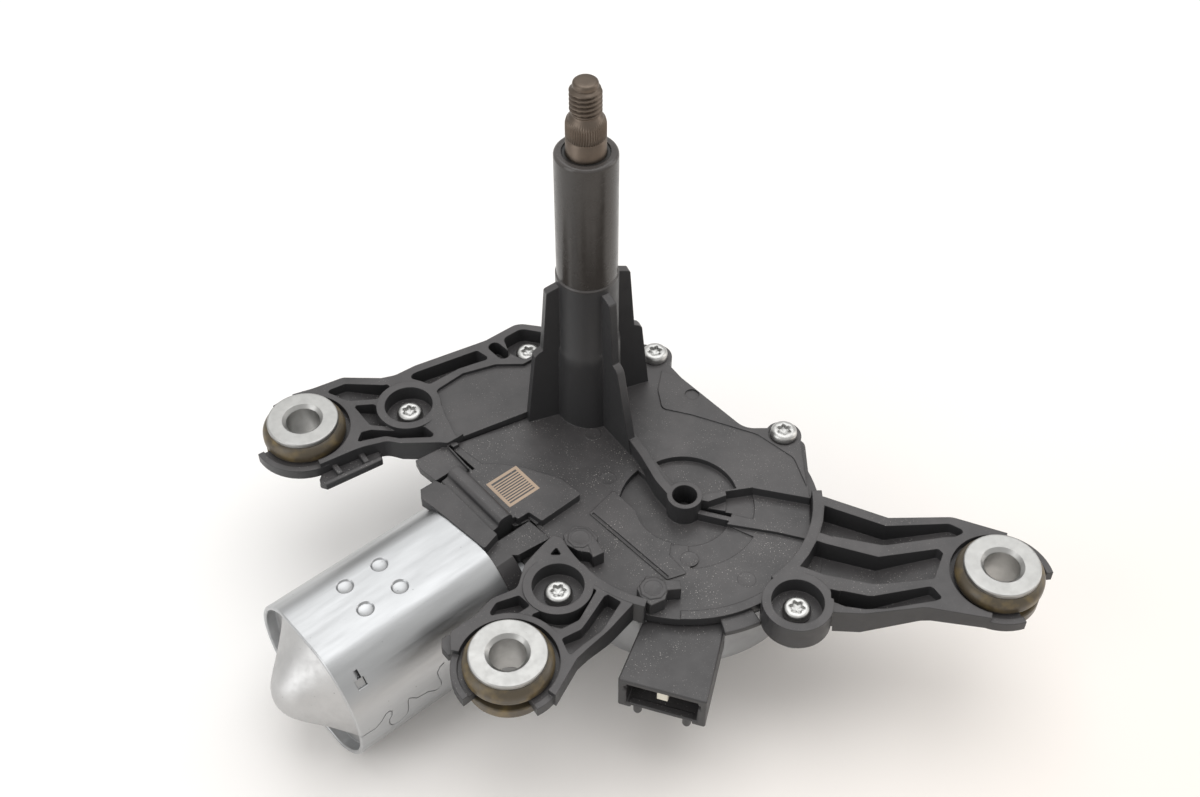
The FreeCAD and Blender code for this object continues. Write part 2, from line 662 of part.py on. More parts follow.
def arm_a():
    outline = [(-66.0, 54.1), (-57.0, 51.2, 2.0), (-48.6, 49.4, 4.0), (-36.3, 41.4, 5.0), (-9.0, 35.0, 6.0),
               (2.4, 34.6, 5.0), (8.2, 27.4, 2.0), (3.0, 12.0), (-37.2, 10.4), (-40.6, 10.6, 1.0),
               (-52.1, 22.6, 4.0), (-61.0, 24.9, 6.0), (-71.0, 26.6), (-67.0, 40.0)]
    pockets = [
        [(-55.2, 48.0, 1.0), (-49.4, 46.9, 2.0), (-39.6, 40.2, 1.0), (-40.0, 38.4, 1.0), (-45.4, 37.3, 1.5),
         (-52.0, 40.6, 1.0), (-53.9, 44.0, 1.5)],
        [(-52.2, 38.6, 0.8), (-46.8, 35.9, 1.0), (-48.7, 30.6, 1.5), (-47.6, 25.9, 0.8), (-52.6, 30.0, 1.0)],
        [(-59.2, 26.6, 0.6), (-56.0, 29.0, 1.0), (-53.4, 28.4, 1.0), (-41.6, 19.8, 1.0), (-41.4, 14.2, 0.8),
         (-51.4, 24.3, 3.0)],
        [(-34.6, 38.4, 1.2), (-13.2, 33.4, 1.0), (-12.4, 28.4, 1.0), (-21.6, 31.0, 2.5), (-31.4, 31.4, 1.5)],
        [(-4.6, 32.4, 2.0), (1.8, 32.2, 3.0), (5.6, 27.0, 2.0), (4.6, 21.6, 1.0), (-5.4, 21.6, 1.5),
         (-7.0, 26.6, 2.0)],
    ]
    dips = [(-1.0, Z_RIM, Z_RIM - 4.5), (14.0, Z_RIM, Z_RIM - 5.2), (24.0, Z_RIM - 1.6, Z_RIM - 8.2),
            (34.0, Z_RIM, Z_SEAM), (90.0, Z_RIM, Z_SEAM)]
    body = level_arm(outline, pockets, dips, ARM_A_AZ, MOUNT_A)
    slot = prism([(-10.4, 33.0, 1.8), (-6.8, 33.0, 1.8), (-6.5, 25.6, 1.8), (-10.3, 25.6, 1.8)], Z_SEAT, ABOVE_ALL)
    field = prism(high_left_outline(), Z_HIGH, ABOVE_ALL)
    tongue = prism([(-72.9, 25.4), (-72.0, 22.4, 0.8), (-55.9, 17.9, 0.8), (-54.0, 24.2), (-61.0, 27.0),
                    (-70.6, 27.3)], Z_SEAM, Z_FRONT)
    return body.cut(slot).cut(field).fuse(tongue)


def arm_b():
    outline = [(-71.0, -54.7), (-79.6, -43.0), (-76.6, -38.8, 2.0), (-69.0, -38.9, 3.0), (-62.8, -37.4, 3.0),
               (-55.8, -38.8, 3.0), (-50.2, -34.6, 3.0), (-43.6, -33.0, 1.5), (-38.6, -32.0, 1.0), (-34.0, -44.0),
               (-34.0, -60.0), (-37.4, -61.4, 1.0), (-47.4, -63.2, 3.0), (-58.0, -64.6, 3.0), (-68.4, -69.2)]
    pockets = [
        [(-66.6, -40.9, 1.0), (-62.8, -39.2, 1.5), (-56.9, -40.9, 0.8), (-56.8, -45.2, 0.8), (-61.2, -45.2, 1.5),
         (-64.4, -43.4, 1.0)],
        [(-59.0, -47.4, 0.8), (-54.4, -48.4, 0.6), (-51.1, -52.2, 1.5), (-46.0, -52.4, 0.6), (-41.9, -51.2, 0.4),
         (-41.5, -52.4, 0.4), (-50.4, -56.2, 1.5), (-55.4, -55.6, 0.8), (-57.5, -52.5, 1.5)],
        [(-41.3, -55.0, 0.4), (-40.2, -55.2, 0.4), (-39.2, -59.0, 0.5), (-48.2, -62.2, 1.0), (-58.8, -62.8, 0.6),
         (-57.4, -57.9, 0.8), (-51.8, -58.7, 2.0)],
        [(-43.6, -36.4, 0.4), (-40.6, -35.6, 0.4), (-41.2, -38.4, 0.4)],
    ]
    dips = [(-12.0, Z_RIM, Z_RIM - 4.5), (12.0, Z_RIM, Z_RIM - 5.2), (20.0, Z_RIM - 0.6, Z_RIM - 7.2),
            (30.0, Z_RIM, Z_SEAM), (60.0, Z_RIM, Z_SEAM)]
    body = level_arm(outline, pockets, dips, ARM_B_AZ, MOUNT_B)
    tab = prism([(-78.6, -37.8), (-76.5, -37.6), (-75.6, -42.6), (-77.0, -44.0), (-80.2, -42.5), (-80.1, -39.8)],
                Z_FRONT, Z_DATA)
    return body.cut(post(DISC_R - 1.2, Z_FRONT, ABOVE_ALL, HUB)).fuse(tab)


def collar(at, fork):
    """Fork that clips the rubber mount: a web in the rubber's groove, with a high lip towards the arm."""
    mouth, lip_from, lip_to = fork
    web = ring(COLLAR_R, RUBBER_NECK_R, Z_WEB_LOW, Z_WEB_TOP, at)
    low_rim = ring(COLLAR_R, COLLAR_LIP_R, Z_WEB_LOW, Z_WEB_TOP + COLLAR_LOW_RIM, at)
    gap = arc_band(at, COLLAR_R + 1.0, 0, mouth - FORK_HALF, mouth + FORK_HALF, Z_WEB_LOW - 1.0, ABOVE_ALL)
    lip = arc_band(at, COLLAR_R, COLLAR_LIP_R, lip_from, lip_to, Z_WEB_LOW, Z_RIM)
    return web.fuse(low_rim).cut(gap).fuse(lip)


def screw_well(at):
    """Round well with a seat for a cover screw; its wall hangs below the plate as a skirt."""
    return ring(WELL_R + WELL_WALL, WELL_R, Z_SKIRT, Z_RIM, at).fuse(post(WELL_R + FUSE_SINK, Z_SEAM, Z_SEAT, at))


def lugs():
    """Two blocks moulded over terminals, each with a short stub."""
    first = [(-37.7, -35.0), (-34.3, -33.5, 0.8), (-31.5, -34.8, 0.8), (-30.2, -37.2), (-30.5, -39.3),
             (-31.9, -40.6), (-32.5, -44.2, 0.3), (-35.3, -43.7, 0.3), (-35.0, -42.1), (-36.9, -39.7, 0.8),
             (-37.9, -36.0, 0.5)]
    second = [(-30.8, -57.2), (-28.5, -58.0), (-27.0, -60.5), (-27.0, -61.9), (-23.7, -63.4, 0.3),
              (-25.1, -65.3, 0.3), (-28.2, -63.5), (-30.1, -64.6), (-33.9, -64.0, 0.5), (-33.6, -62.3),
              (-34.3, -60.7, 0.5), (-33.5, -58.9)]
    return [prism(first, Z_FRONT, Z_LUG), prism(second, Z_FRONT, Z_LUG)]


def chamber_plan(inset, z0, z1):
    """Plan of the gear chamber's outer wall: an outline with a round part about the hub."""
    outline = [(28.0, 3.4, 5.0), (25.0, -9.0, 20.0), (25.3, -36.0, 6.0), (34.0, -42.4, 4.0), (34.2, -49.2, 3.0),
               (21.0, -63.0), (0.0, -60.0), (-30.0, -48.0), (HOUSING_FACE_X + FLANGE_T, -35.0, 2.0),
               (HOUSING_FACE_X + FLANGE_T, 6.0, 2.0), (-25.0, 20.0, 6.0), (-4.0, 31.0, 6.0), (9.0, 25.0, 8.0)]
    disc = post(DISC_R - inset, z0, z1, HUB).cut(prism(beyond_right_edge(), z0, z1))
    return prism(outline, z0, z1).fuse(disc)


def cover():
    disc = post(DISC_R, Z_SEAM, Z_FRONT, HUB).cut(prism(beyond_right_edge(), Z_SEAM, Z_FRONT))
    plate = prism(plate_outline(), Z_SEAM, Z_FRONT).fuse(disc)
    left, left_room = raised(high_left_outline(), Z_HIGH)
    right, right_room = raised(high_right_outline(), Z_HIGH)
    pad, pad_room = raised(data_outline(), Z_DATA)
    slope = sloped_field(slope_outline(), 0.0)
    slope_room = sloped_field(slope_outline(), SKIN_T)
    margin = prism(margin_outline(), Z_FRONT, Z_HIGH + MARGIN_STEP)
    sector = prism([(-4.3, -46.0), (11.1, -52.9), (20.6, -65.9), (13.0, -73.6, 1.0), (-5.3, -49.9)],
                   Z_SEAM, Z_SECTOR)
    dusty = arc_band(HUB, 18.5, 11.0, -56.0, -30.0, Z_DUSTY, ABOVE_ALL)
    strip = prism([(-25.0, -30.0, 0.5), (-15.1, -28.2, 0.5), (-15.1, -51.0), (-18.1, -53.7), (-18.7, -60.9, 0.5),
                   (-23.8, -59.1, 0.5)], Z_FRONT, Z_STRIP)
    groove = prism([(-24.6, -30.6), (-23.9, -30.5), (-22.8, -58.6), (-23.5, -58.8)], Z_STRIP - 0.4, Z_STRIP)
    dish = hub_recess(Z_DISH, Z_SEAM, RECESS_WALL)
    body = plate.multiFuse([left, right, pad, slope, margin, sector, strip, dish])
    body = body.cut(left_room).cut(right_room).cut(pad_room).cut(slope_room).cut(groove)
    body = body.cut(arc_band(HUB, PLATE_ARC_R, 0, -28.0, 80.0, Z_ARC, ABOVE_ALL)).cut(dusty)
    body = body.cut(arc_band(HUB, FAINT_ARC_R, RECESS_NEAR_R, -128.0, -70.0, Z_FRONT - FAINT_STEP, Z_FRONT))
    body = body.cut(hub_recess(Z_RECESS, ABOVE_ALL, 0.0))
    ring_right = arc_band(HUB, DISC_R, DISC_R - RING_WALL, -134.0, -38.0, Z_SEAM, Z_RIM)
    ring_left = arc_band(HUB, DISC_R + 1.2, DISC_R - 1.2, 164.0, 212.0, Z_SEAM, Z_RIM)
    ray = rib_wall(polar(HUB, HUB_BOSS_R - 1.0, -80.0), (13.0, -73.6), 1.4, Z_SEAM, Z_SECTOR)
    boss = ring(HUB_BOSS_R, HUB_BORE_R, Z_RECESS - FUSE_SINK, Z_RIM, HUB)
    upper = [tower_solid(), ring_right, ring_left, ridge(), ray, hood(), side_plates(), boss]
    upper += [arm_a(), arm_b(), arm_c()] + lugs()
    for i in range(len(SCREW_PLACES)):
        if SCREW_SEATS[i] == "well":
            upper.append(screw_well(SCREW_PLACES[i]))
        else:
            upper.append(post(SEAT_POST_R, Z_SEAM, screw_seat(i), SCREW_PLACES[i]))
    for azimuth, extra in ((RIB_PAIR_AZ, 0), (RIB_PAIR_AZ + 180.0, 0), (FRONT_RIB_AZ, FRONT_RIB_EXTRA), (BACK_RIB_AZ, 0)):
        upper.append(tower_rib(azimuth, RIB_FOOT_R + extra))
    for mount, fork in ((MOUNT_A, FORK_A), (MOUNT_B, FORK_B), (MOUNT_C, FORK_C)):
        upper.append(collar(mount, fork))
    upper.append(post(1.4, Z_WEB_LOW, Z_RIM, polar(MOUNT_B, COLLAR_R, -41.0)))
    body = body.multiFuse(upper)
    body = body.cut(post(HUB_BORE_R, Z_RECESS, ABOVE_ALL, HUB))
    body = body.cut(post(2.0, Z_HIGH + MARGIN_STEP - 0.5, ABOVE_ALL, (22.1, -18.6)))
    for i in range(len(SCREW_PLACES)):
        at = SCREW_PLACES[i]
        body = body.cut(post(SCREW_R + 0.2, Z_SEAM - 6.0, screw_seat(i), at))
        body = body.cut(post(SCREW_HEAD_R + HEAD_ROOM, screw_seat(i), ABOVE_ALL, at))
        if SCREW_SEATS[i] == "well":
            body = body.cut(post(WELL_R, Z_SEAT, ABOVE_ALL, at))
            body = body.cut(post(SCREW_POST_R + SOFT_GAP, Z_BOTTOM, Z_SEAM, at))
    for mount in (MOUNT_A, MOUNT_B, MOUNT_C):
        body = body.cut(post(COLLAR_LIP_R, Z_WEB_TOP, ABOVE_ALL, mount))
        body = body.cut(post(RUBBER_NECK_R, Z_BOTTOM, ABOVE_ALL, mount))
        body = body.cut(post(COLLAR_LIP_R, Z_BOTTOM, Z_WEB_LOW, mount))
    body = body.cut(post(TUBE_BORE_R, Z_SEAM - 10.0, Z_TUBE_TOP + 1.0))
    skirt_room = chamber_plan(-PART_GAP, Z_BOTTOM, Z_SEAM).cut(post(RECESS_FAR_R + 4.0, Z_BOTTOM, Z_SEAM, HUB))
    return body.cut(skirt_room).removeSplitter()


# Rubber mounts

def grommet(at):
    """Rubber mount with a bulging upper bead and a plain lower flange, grooved for the cover's web."""
    top = Z_WASHER - WASHER_T
    low = Z_WASHER - MOUNT_LEN + WASHER_T
    inner = SLEEVE_BORE_R + SLEEVE_WALL
    profile = [(inner, low), (RUBBER_LOW_R, low, 0.8), (RUBBER_LOW_R, Z_WEB_LOW, 0.4), (RUBBER_NECK_R, Z_WEB_LOW),
               (RUBBER_NECK_R, Z_WEB_TOP), (RUBBER_R, Z_WEB_TOP, 1.4), (RUBBER_R, top, 2.6), (inner, top)]
    return revolve_up(profile, at)


def bushing(at):
    """Steel sleeve with a wide flange on top; the flange face meets the car body."""
    outer = SLEEVE_BORE_R + SLEEVE_WALL
    low = Z_WASHER - MOUNT_LEN
    profile = [(SLEEVE_BORE_R, low), (outer, low), (outer, Z_WASHER - WASHER_T), (WASHER_R, Z_WASHER - WASHER_T),
               (WASHER_R, Z_WASHER, WASHER_EDGE), (SLEEVE_BORE_R + 1.0, Z_WASHER), (SLEEVE_BORE_R, Z_WASHER - 1.0)]
    return revolve_up(profile, at)


def bushing_washer(at):
    low = Z_WASHER - MOUNT_LEN
    return ring(LOW_WASHER_R, SLEEVE_BORE_R + SLEEVE_WALL, low, low + WASHER_T, at)


# Spindle and tower bushes

def spindle():
    """Shaft with a knurled taper, a stud and a stepped lower end for the lever."""
    land_low = Z_TUBE_TOP - SEAL_T - BUSH_LEN - SHAFT_LAND
    relief_r = SHAFT_R - SHAFT_RELIEF
    low_land = Z_BUSH_LOW + BUSH_LEN + SHAFT_LAND
    profile = [(0, Z_LEVER_LOW), (LEVER_SEAT_R, Z_LEVER_LOW), (LEVER_SEAT_R, Z_LEVER_TOP),
               (SHAFT_R, Z_LEVER_TOP), (SHAFT_R, low_land), (relief_r, low_land + SHAFT_RELIEF),
               (relief_r, land_low - SHAFT_RELIEF), (SHAFT_R, land_low), (SHAFT_R, -TAPER_LEN),
               (TAPER_TOP_R, 0), (STUD_R, 0), (STUD_R, STUD_LEN - STUD_TIP_CHAMFER),
               (STUD_R - STUD_TIP_CHAMFER, STUD_LEN), (0, STUD_LEN)]
    return revolve_up(profile)


def lever():
    """Steel lever pressed on the spindle's lower end."""
    plate = hull_plate((0.0, 0.0), LEVER_HUB_R, LEVER_PIN, LINK_EYE_R, Z_LEVER_LOW, Z_LEVER_TOP)
    plate = plate.cut(post(LEVER_SEAT_R, Z_LEVER_LOW, Z_LEVER_TOP))
    return plate.cut(post(LINK_PIN_R, Z_LEVER_LOW, Z_LEVER_TOP, LEVER_PIN))


def connecting_rod():
    """Flat rod from the crank pin to the lever pin, with a long recess and two eyes."""
    plate = hull_plate(CRANK_PIN, LINK_EYE_R + 0.6, LEVER_PIN, LINK_EYE_R, Z_ROD_LOW, Z_ROD_TOP)
    plate = plate.cut(post(LINK_PIN_R + RUNNING_FIT, Z_ROD_LOW, Z_ROD_TOP, LEVER_PIN))
    middle = polar(HUB, CRANK_R + ROD_LEN / 2, LINE_AZ)
    reach = ROD_LEN / 2 - LINK_EYE_R - 4.8
    recess = hull_plate(polar(middle, reach, LINE_AZ), LINK_EYE_R / 2, polar(middle, -reach, LINE_AZ), LINK_EYE_R / 2,
                        Z_ROD_TOP - ROD_RECESS, Z_ROD_TOP)
    return plate.cut(recess).cut(post(CRANK_PIN_R + RUNNING_FIT, Z_ROD_LOW, Z_ROD_TOP, CRANK_PIN))


def lever_pin():
    """Riveted pin: pressed in the lever, running in the rod, with a head under the rod."""
    head_top = Z_ROD_LOW - LINK_GAP
    shank = post(LINK_PIN_R, head_top, Z_LEVER_TOP, LEVER_PIN)
    return shank.fuse(post(LINK_PIN_R + PIN_HEAD_EXTRA, head_top - PIN_HEAD_T, head_top, LEVER_PIN))


# Gear train

def worm_wheel():
    """Plastic wheel with a web, a hub and straight teeth; a gap faces the worm."""
    tip = WHEEL_R + TOOTH_ADDENDUM
    root = WHEEL_R - TOOTH_DEDENDUM
    step = 360.0 / WHEEL_TEETH
    points = []
    for i in range(WHEEL_TEETH):
        centre_az = 90.0 + (i + 0.5) * step
        for radius, half in ((root, -TOOTH_ROOT_HALF), (tip, -TOOTH_TIP_HALF), (tip, TOOTH_TIP_HALF),
                             (root, TOOTH_ROOT_HALF)):
            points.append(polar(HUB, radius, centre_az + math.degrees(half / radius)))
    body = prism(points, Z_WHEEL_LOW, Z_WHEEL_TOP)
    rim = root - WHEEL_RIM
    web = Z_WHEEL_LOW + WHEEL_WEB_DEPTH
    body = body.cut(ring(rim, WHEEL_HUB_R, Z_WHEEL_LOW, web, HUB))
    for i in range(WHEEL_RIBS):
        azimuth = 30.0 + 360.0 / WHEEL_RIBS * i
        rib = rib_wall(polar(HUB, WHEEL_HUB_R - FUSE_SINK, azimuth), polar(HUB, rim + FUSE_SINK, azimuth), 1.6,
                       Z_WHEEL_LOW, web + FUSE_SINK)
        body = body.fuse(rib)
    body = body.cut(post(AXLE_R + RUNNING_FIT, Z_WHEEL_LOW, Z_WHEEL_TOP, HUB))
    body = body.cut(post(CRANK_PIN_R, Z_WHEEL_LOW, Z_WHEEL_TOP, CRANK_PIN))
    body = body.cut(ring(CONTACT_OUTER_R, CONTACT_INNER_R, Z_WHEEL_TOP - CONTACT_T, Z_WHEEL_TOP, HUB))
    return body.removeSplitter()


def contact_ring():
    """Brass park contact let into the wheel, with a notch that marks the park place."""
    low = Z_WHEEL_TOP - CONTACT_T
    body = ring(CONTACT_OUTER_R, CONTACT_INNER_R, low, Z_WHEEL_TOP, HUB)
    notch = arc_band(HUB, CONTACT_OUTER_R, CONTACT_INNER_R + CONTACT_BAND / 2, 196.0, 224.0, low, Z_WHEEL_TOP)
    return body.cut(notch)


def crank_pin():
    return post(CRANK_PIN_R, Z_WHEEL_LOW + FUSE_SINK, Z_ROD_LOW - LINK_GAP, CRANK_PIN)


def wheel_axle():
    return post(AXLE_R, Z_BOTTOM + AXLE_SINK, Z_ROD_LOW - 2 * LINK_GAP, HUB)


def worm_thread():
    """Right hand thread of the worm about the motor axis; a crest faces the wheel at the hub's station."""
    length = WORM_PITCH * WORM_TURNS
    inner = WORM_ROOT_R - THREAD_ROOT_SINK
    tip_r = WORM_PITCH_R + TOOTH_ADDENDUM
    root_half = TOOTH_ROOT_HALF + PART_GAP
    helix = Part.makeHelix(WORM_PITCH, length, WORM_PITCH_R)
    section = Part.makePolygon([V(inner, 0, -root_half), V(tip_r, 0, -TOOTH_TIP_HALF), V(tip_r, 0, TOOTH_TIP_HALF),
                                V(inner, 0, root_half), V(inner, 0, -root_half)])
    thread = Part.Wire(helix).makePipeShell([section], True, True)
    thread.translate(V(0, 0, -length / 2))
    thread.rotate(V(0, 0, 0), UP, 270.0 - 180.0 * (WORM_TURNS % 2))
    thread.rotate(V(0, 0, 0), V(0, 1, 0), 90)
    return thread


def armature_shaft():
    """Steel shaft with the worm cut on it."""
    rear = HUB[0] - WORM_HALF
    front = HUB[0] + WORM_HALF
    shaft = rod_along(MOTOR_SHAFT_R, SHAFT_TAIL_X, rear)
    shaft = shaft.fuse([rod_along(WORM_ROOT_R, rear, front), rod_along(MOTOR_SHAFT_R, front, SHAFT_NOSE_X)])
    thread = worm_thread()
    thread.translate(V(HUB[0], MOTOR_Y, MOTOR_Z))
    return shaft.fuse(thread)


def cover_screws():
    """Six pan head screws, one solid each."""
    solids = []
    for i in range(len(SCREW_PLACES)):
        seat = screw_seat(i)
        top = seat + SCREW_HEAD_H
        head = revolve_up([(0, seat), (SCREW_HEAD_R, seat), (SCREW_HEAD_R, top, 1.1), (0, top)], SCREW_PLACES[i])
        solids.append(head.fuse(post(SCREW_R, seat - SCREW_LEN, seat, SCREW_PLACES[i])).removeSplitter())
    return Part.makeCompound(solids)


# Gear housing

def connector_frame(shape):
    """Moves a shape drawn along +X from the connector's root to its place."""
    return turned(shape, CONNECTOR_AZ, CONNECTOR_BACK)


def connector_block(spare, inward=0.0):
    """Block that carries the terminals through the housing wall."""
    half = CONNECTOR_W / 2 - BLOCK_NARROW + spare
    length = BLOCK_IN + CONNECTOR_BACK_WALL - BLOCK_NARROW + 2 * spare + inward
    return connector_frame(Part.makeBox(length, 2 * half, Z_SEAM - Z_CONNECTOR_LOW + spare,
                                        V(-BLOCK_IN - spare - inward, -half, Z_CONNECTOR_LOW - spare)))


def connector_envelope(spare):
    """Outside of the socket, which lets into the round wall at its corners."""
    half = CONNECTOR_W / 2 + spare
    return connector_frame(Part.makeBox(CONNECTOR_REACH, 2 * half, CONNECTOR_H + 2 * spare,
                                        V(-spare, -half, Z_CONNECTOR_LOW - spare)))


def round_case():
    """Round part of the gear chamber with a thin flange on top and a rounded bottom edge."""
    outer = DISC_R - CASE_INSET
    under = Z_HOUSING - CASE_FLANGE_T
    case = revolve_up([(0, Z_BOTTOM), (outer, Z_BOTTOM, CASE_ROUND), (outer, under), (DISC_R, under),
                       (DISC_R, Z_HOUSING), (0, Z_HOUSING)], HUB)
    return case.cut(prism(beyond_right_edge(), Z_BOTTOM, Z_HOUSING))


def gear_housing():
    body = chamber_plan(CASE_ROUND + CASE_INSET, Z_BOTTOM, Z_HOUSING).fuse(round_case())
    mouth = clipped(CAN_R, CAN_FLAT, HOUSING_FACE_X, HOUSING_FACE_X + FLANGE_T)
    above = Part.makeBox(FLANGE_T, 2 * CAN_R, CAN_R, V(HOUSING_FACE_X, MOTOR_Y - CAN_R, Z_HOUSING))
    body = body.fuse([mouth.cut(above), rod_along(TUNNEL_TUBE_R, HOUSING_FACE_X, BEARING_X + 4.0)])
    for i in range(len(SCREW_PLACES)):
        if SCREW_SEATS[i] == "well":
            at = SCREW_PLACES[i]
            inward = (at[0] * 0.55, at[1] * 0.75)
            body = body.fuse(post(SCREW_POST_R, Z_SEAT - SCREW_LEN - 1.0, Z_HOUSING, at))
            body = body.fuse(rib_wall(at, inward, SCREW_POST_R, Z_SEAT - SCREW_LEN - 1.0, Z_SKIRT - PART_GAP))
    body = body.cut(hull_plate((0.0, 0.0), LEVER_ROOM_R, HUB, WHEEL_ROOM_R, LEVER_FLOOR, Z_HOUSING))
    body = body.cut(post(WHEEL_ROOM_R, Z_BOTTOM + HOUSING_FLOOR, Z_HOUSING, HUB))
    body = body.fuse(post(WHEEL_SEAT_R, Z_BOTTOM + HOUSING_FLOOR, Z_WHEEL_LOW - ASSEMBLY_FIT, HUB))
    body = body.cut(post(AXLE_R, Z_BOTTOM + AXLE_SINK, Z_WHEEL_LOW, HUB))
    body = body.cut(rod_along(TUNNEL_R, HOUSING_FACE_X, SHAFT_NOSE_X + 2.6))
    body = body.cut(rod_along(BEARING_R, HOUSING_FACE_X, BEARING_X))
    body = body.cut(connector_block(ASSEMBLY_FIT, 4.0)).cut(connector_envelope(ASSEMBLY_FIT))
    for i in range(len(SCREW_PLACES)):
        body = body.cut(post(SCREW_R, screw_seat(i) - SCREW_LEN - 1.0, Z_HOUSING, SCREW_PLACES[i]))
    return max(body.removeSplitter().Solids, key=lambda solid: solid.Volume)


def gasket():
    """Thin seal between cover and housing, with the outline of the chamber."""
    body = chamber_plan(CASE_INSET, Z_HOUSING, Z_SEAM).removeSplitter()
    body = body.cut(hull_plate((0.0, 0.0), LEVER_ROOM_R + 1.0, HUB, WHEEL_ROOM_R + 1.0, Z_HOUSING, Z_SEAM))
    body = body.cut(connector_block(PART_GAP))
    for place in SCREW_PLACES:
        body = body.cut(post(SCREW_R + 0.6, Z_HOUSING, Z_SEAM, place))
    return max(body.Solids, key=lambda solid: solid.Volume)


# Connector

def connector_housing():
    """Open socket in front of the cover with the terminal block behind it."""
    half = CONNECTOR_W / 2
    wall = CONNECTOR_WALL
    room_h = CONNECTOR_H - 2 * wall
    shell = Part.makeBox(CONNECTOR_REACH, CONNECTOR_W, CONNECTOR_H, V(0, -half, Z_CONNECTOR_LOW))
    shell = shell.cut(Part.makeBox(CONNECTOR_REACH, CONNECTOR_W - 2 * wall, room_h,
                                   V(CONNECTOR_BACK_WALL, -half + wall, Z_CONNECTOR_LOW + wall)))
    bevel = side_profile([(CONNECTOR_REACH - 0.8, Z_CONNECTOR_TOP + 0.1), (CONNECTOR_REACH + 0.1, Z_CONNECTOR_TOP + 0.1),
                          (CONNECTOR_REACH + 0.1, Z_CONNECTOR_TOP - 0.8)], half, 0.0, (0.0, 0.0))
    shell = shell.cut(bevel)
    tab = Part.makeBox(CONNECTOR_REACH - CONNECTOR_BACK_WALL - 1.0, TAB_W, 0.8,
                       V(CONNECTOR_BACK_WALL, -TAB_W / 2, Z_CONNECTOR_TOP - wall - 0.8))
    shell = shell.fuse(tab)
    for side in (-1, 1):
        key = Part.makeBox(CONNECTOR_REACH - CONNECTOR_BACK_WALL, KEY_W, 0.9,
                           V(CONNECTOR_BACK_WALL, side * KEY_AT - KEY_W / 2, Z_CONNECTOR_TOP - wall))
        leg = Part.makeBox(LEG_W, LEG_W, LEG_DROP + wall,
                           V(CONNECTOR_REACH - LEG_W - 1.0, side * (half - LEG_W / 2) - LEG_W / 2,
                             Z_CONNECTOR_LOW - LEG_DROP))
        shell = shell.cut(key).fuse(leg)
    body = connector_frame(shell).fuse(connector_block(0.0))
    for blade in terminal_blades():
        body = body.cut(blade)
    return body.removeSplitter()


def terminal_blades():
    blades = []
    tail = BLOCK_IN + BLADE_TAIL
    for i in range(PIN_COUNT):
        across = (i - (PIN_COUNT - 1) / 2) * PIN_PITCH
        blade = Part.makeBox(tail + BLADE_OUT, BLADE_W, BLADE_T, V(-tail, across - BLADE_W / 2, Z_BLADE - BLADE_T / 2))
        blades.append(connector_frame(blade))
    return blades


def connector_terminals():
    return Part.makeCompound(terminal_blades())


def contact_springs():
    """Three sprung fingers from the terminal block to the park contact."""
    fingers = []
    touch = Z_WHEEL_TOP + SOFT_GAP
    root_z = Z_BLADE - BLADE_T / 2
    tail = -BLOCK_IN - BLADE_TAIL
    for i in range(FINGER_COUNT):
        across = (i - 1) * PIN_PITCH
        tip = -FINGER_REACH - FINGER_STEP * i
        line = [(tail + 1.0, root_z), (tail + 1.0, root_z - 0.5), (tip + 2.0, touch + 0.5), (tip + 1.0, touch),
                (tip, touch + 0.5), (tip, touch + 1.1), (tip + 1.0, touch + 0.5), (tip + 2.0, touch + 1.0)]
        face = upright_face(line)
        face.translate(V(0, across - FINGER_W / 2, 0))
        fingers.append(connector_frame(face.extrude(V(0, FINGER_W, 0))))
    return Part.makeCompound(fingers)


# Motor

def yoke_can():
    """Steel tube of the motor with a flat above and below, four dimples on top and a thinner rear rim."""
    body = clipped(CAN_R, CAN_FLAT, CAN_REAR_X, CAN_MOUTH_X)
    body = body.cut(clipped(CAN_R - CAN_WALL, CAN_FLAT - CAN_WALL, CAN_REAR_X, CAN_MOUTH_X))
    body = body.cut(clipped(CAN_R - RIM_WALL, CAN_FLAT - RIM_WALL, CAN_REAR_X, END_PLATE_X))
    for side_x in (-1, 1):
        for side_y in (-1, 1):
            at = (DIMPLE_MIDDLE[0] + side_x * DIMPLE_PITCH_X / 2, DIMPLE_MIDDLE[1] + side_y * DIMPLE_PITCH_Y / 2)
            body = body.cut(post(DIMPLE_R, Z_CAN_TOP - DIMPLE_DEPTH, Z_CAN_TOP, at))
    return body


def end_plate():
    """Plate pressed in the end of the can: a cone with a round nose, whose flanks stand on three lobes."""
    x = END_PLATE_X
    tip = x - CONE_LEN
    cone = revolve_along([(x + END_PLATE_T, 0), (x + END_PLATE_T, CONE_R), (x, CONE_R), (x - 3.4, CONE_R - 2.4, 3.0),
                          (x - 8.4, NOSE_R + 1.0, 6.0), (tip, NOSE_R - 0.6, 5.0), (tip, 0)])
    for i in range(3):
        middle = 30.0 + 120.0 * i
        gap = tube_along(CAN_R, LOBE_ROOT_R, tip, x)
        cone = cone.cut(gap.common(sector_along(middle - LOBE_GAP_HALF, middle + LOBE_GAP_HALF, 3 * CAN_R, tip, x)))
    plate = clipped(CAN_R - CAN_WALL - ASSEMBLY_FIT, CAN_FLAT - CAN_WALL - ASSEMBLY_FIT, x, x + END_PLATE_T)
    plate = plate.fuse(cone)
    plate = plate.cut(rod_along(BUSH_SEAT_R, x - 9.0, x + END_PLATE_T))
    plate = plate.cut(rod_along(MOTOR_SHAFT_R + 1.0, x - 11.4, x - 9.0))
    return plate.removeSplitter()


def rear_bush():
    return tube_along(BUSH_SEAT_R, MOTOR_SHAFT_R + RUNNING_FIT, END_PLATE_X - 9.0, END_PLATE_X - 3.0)


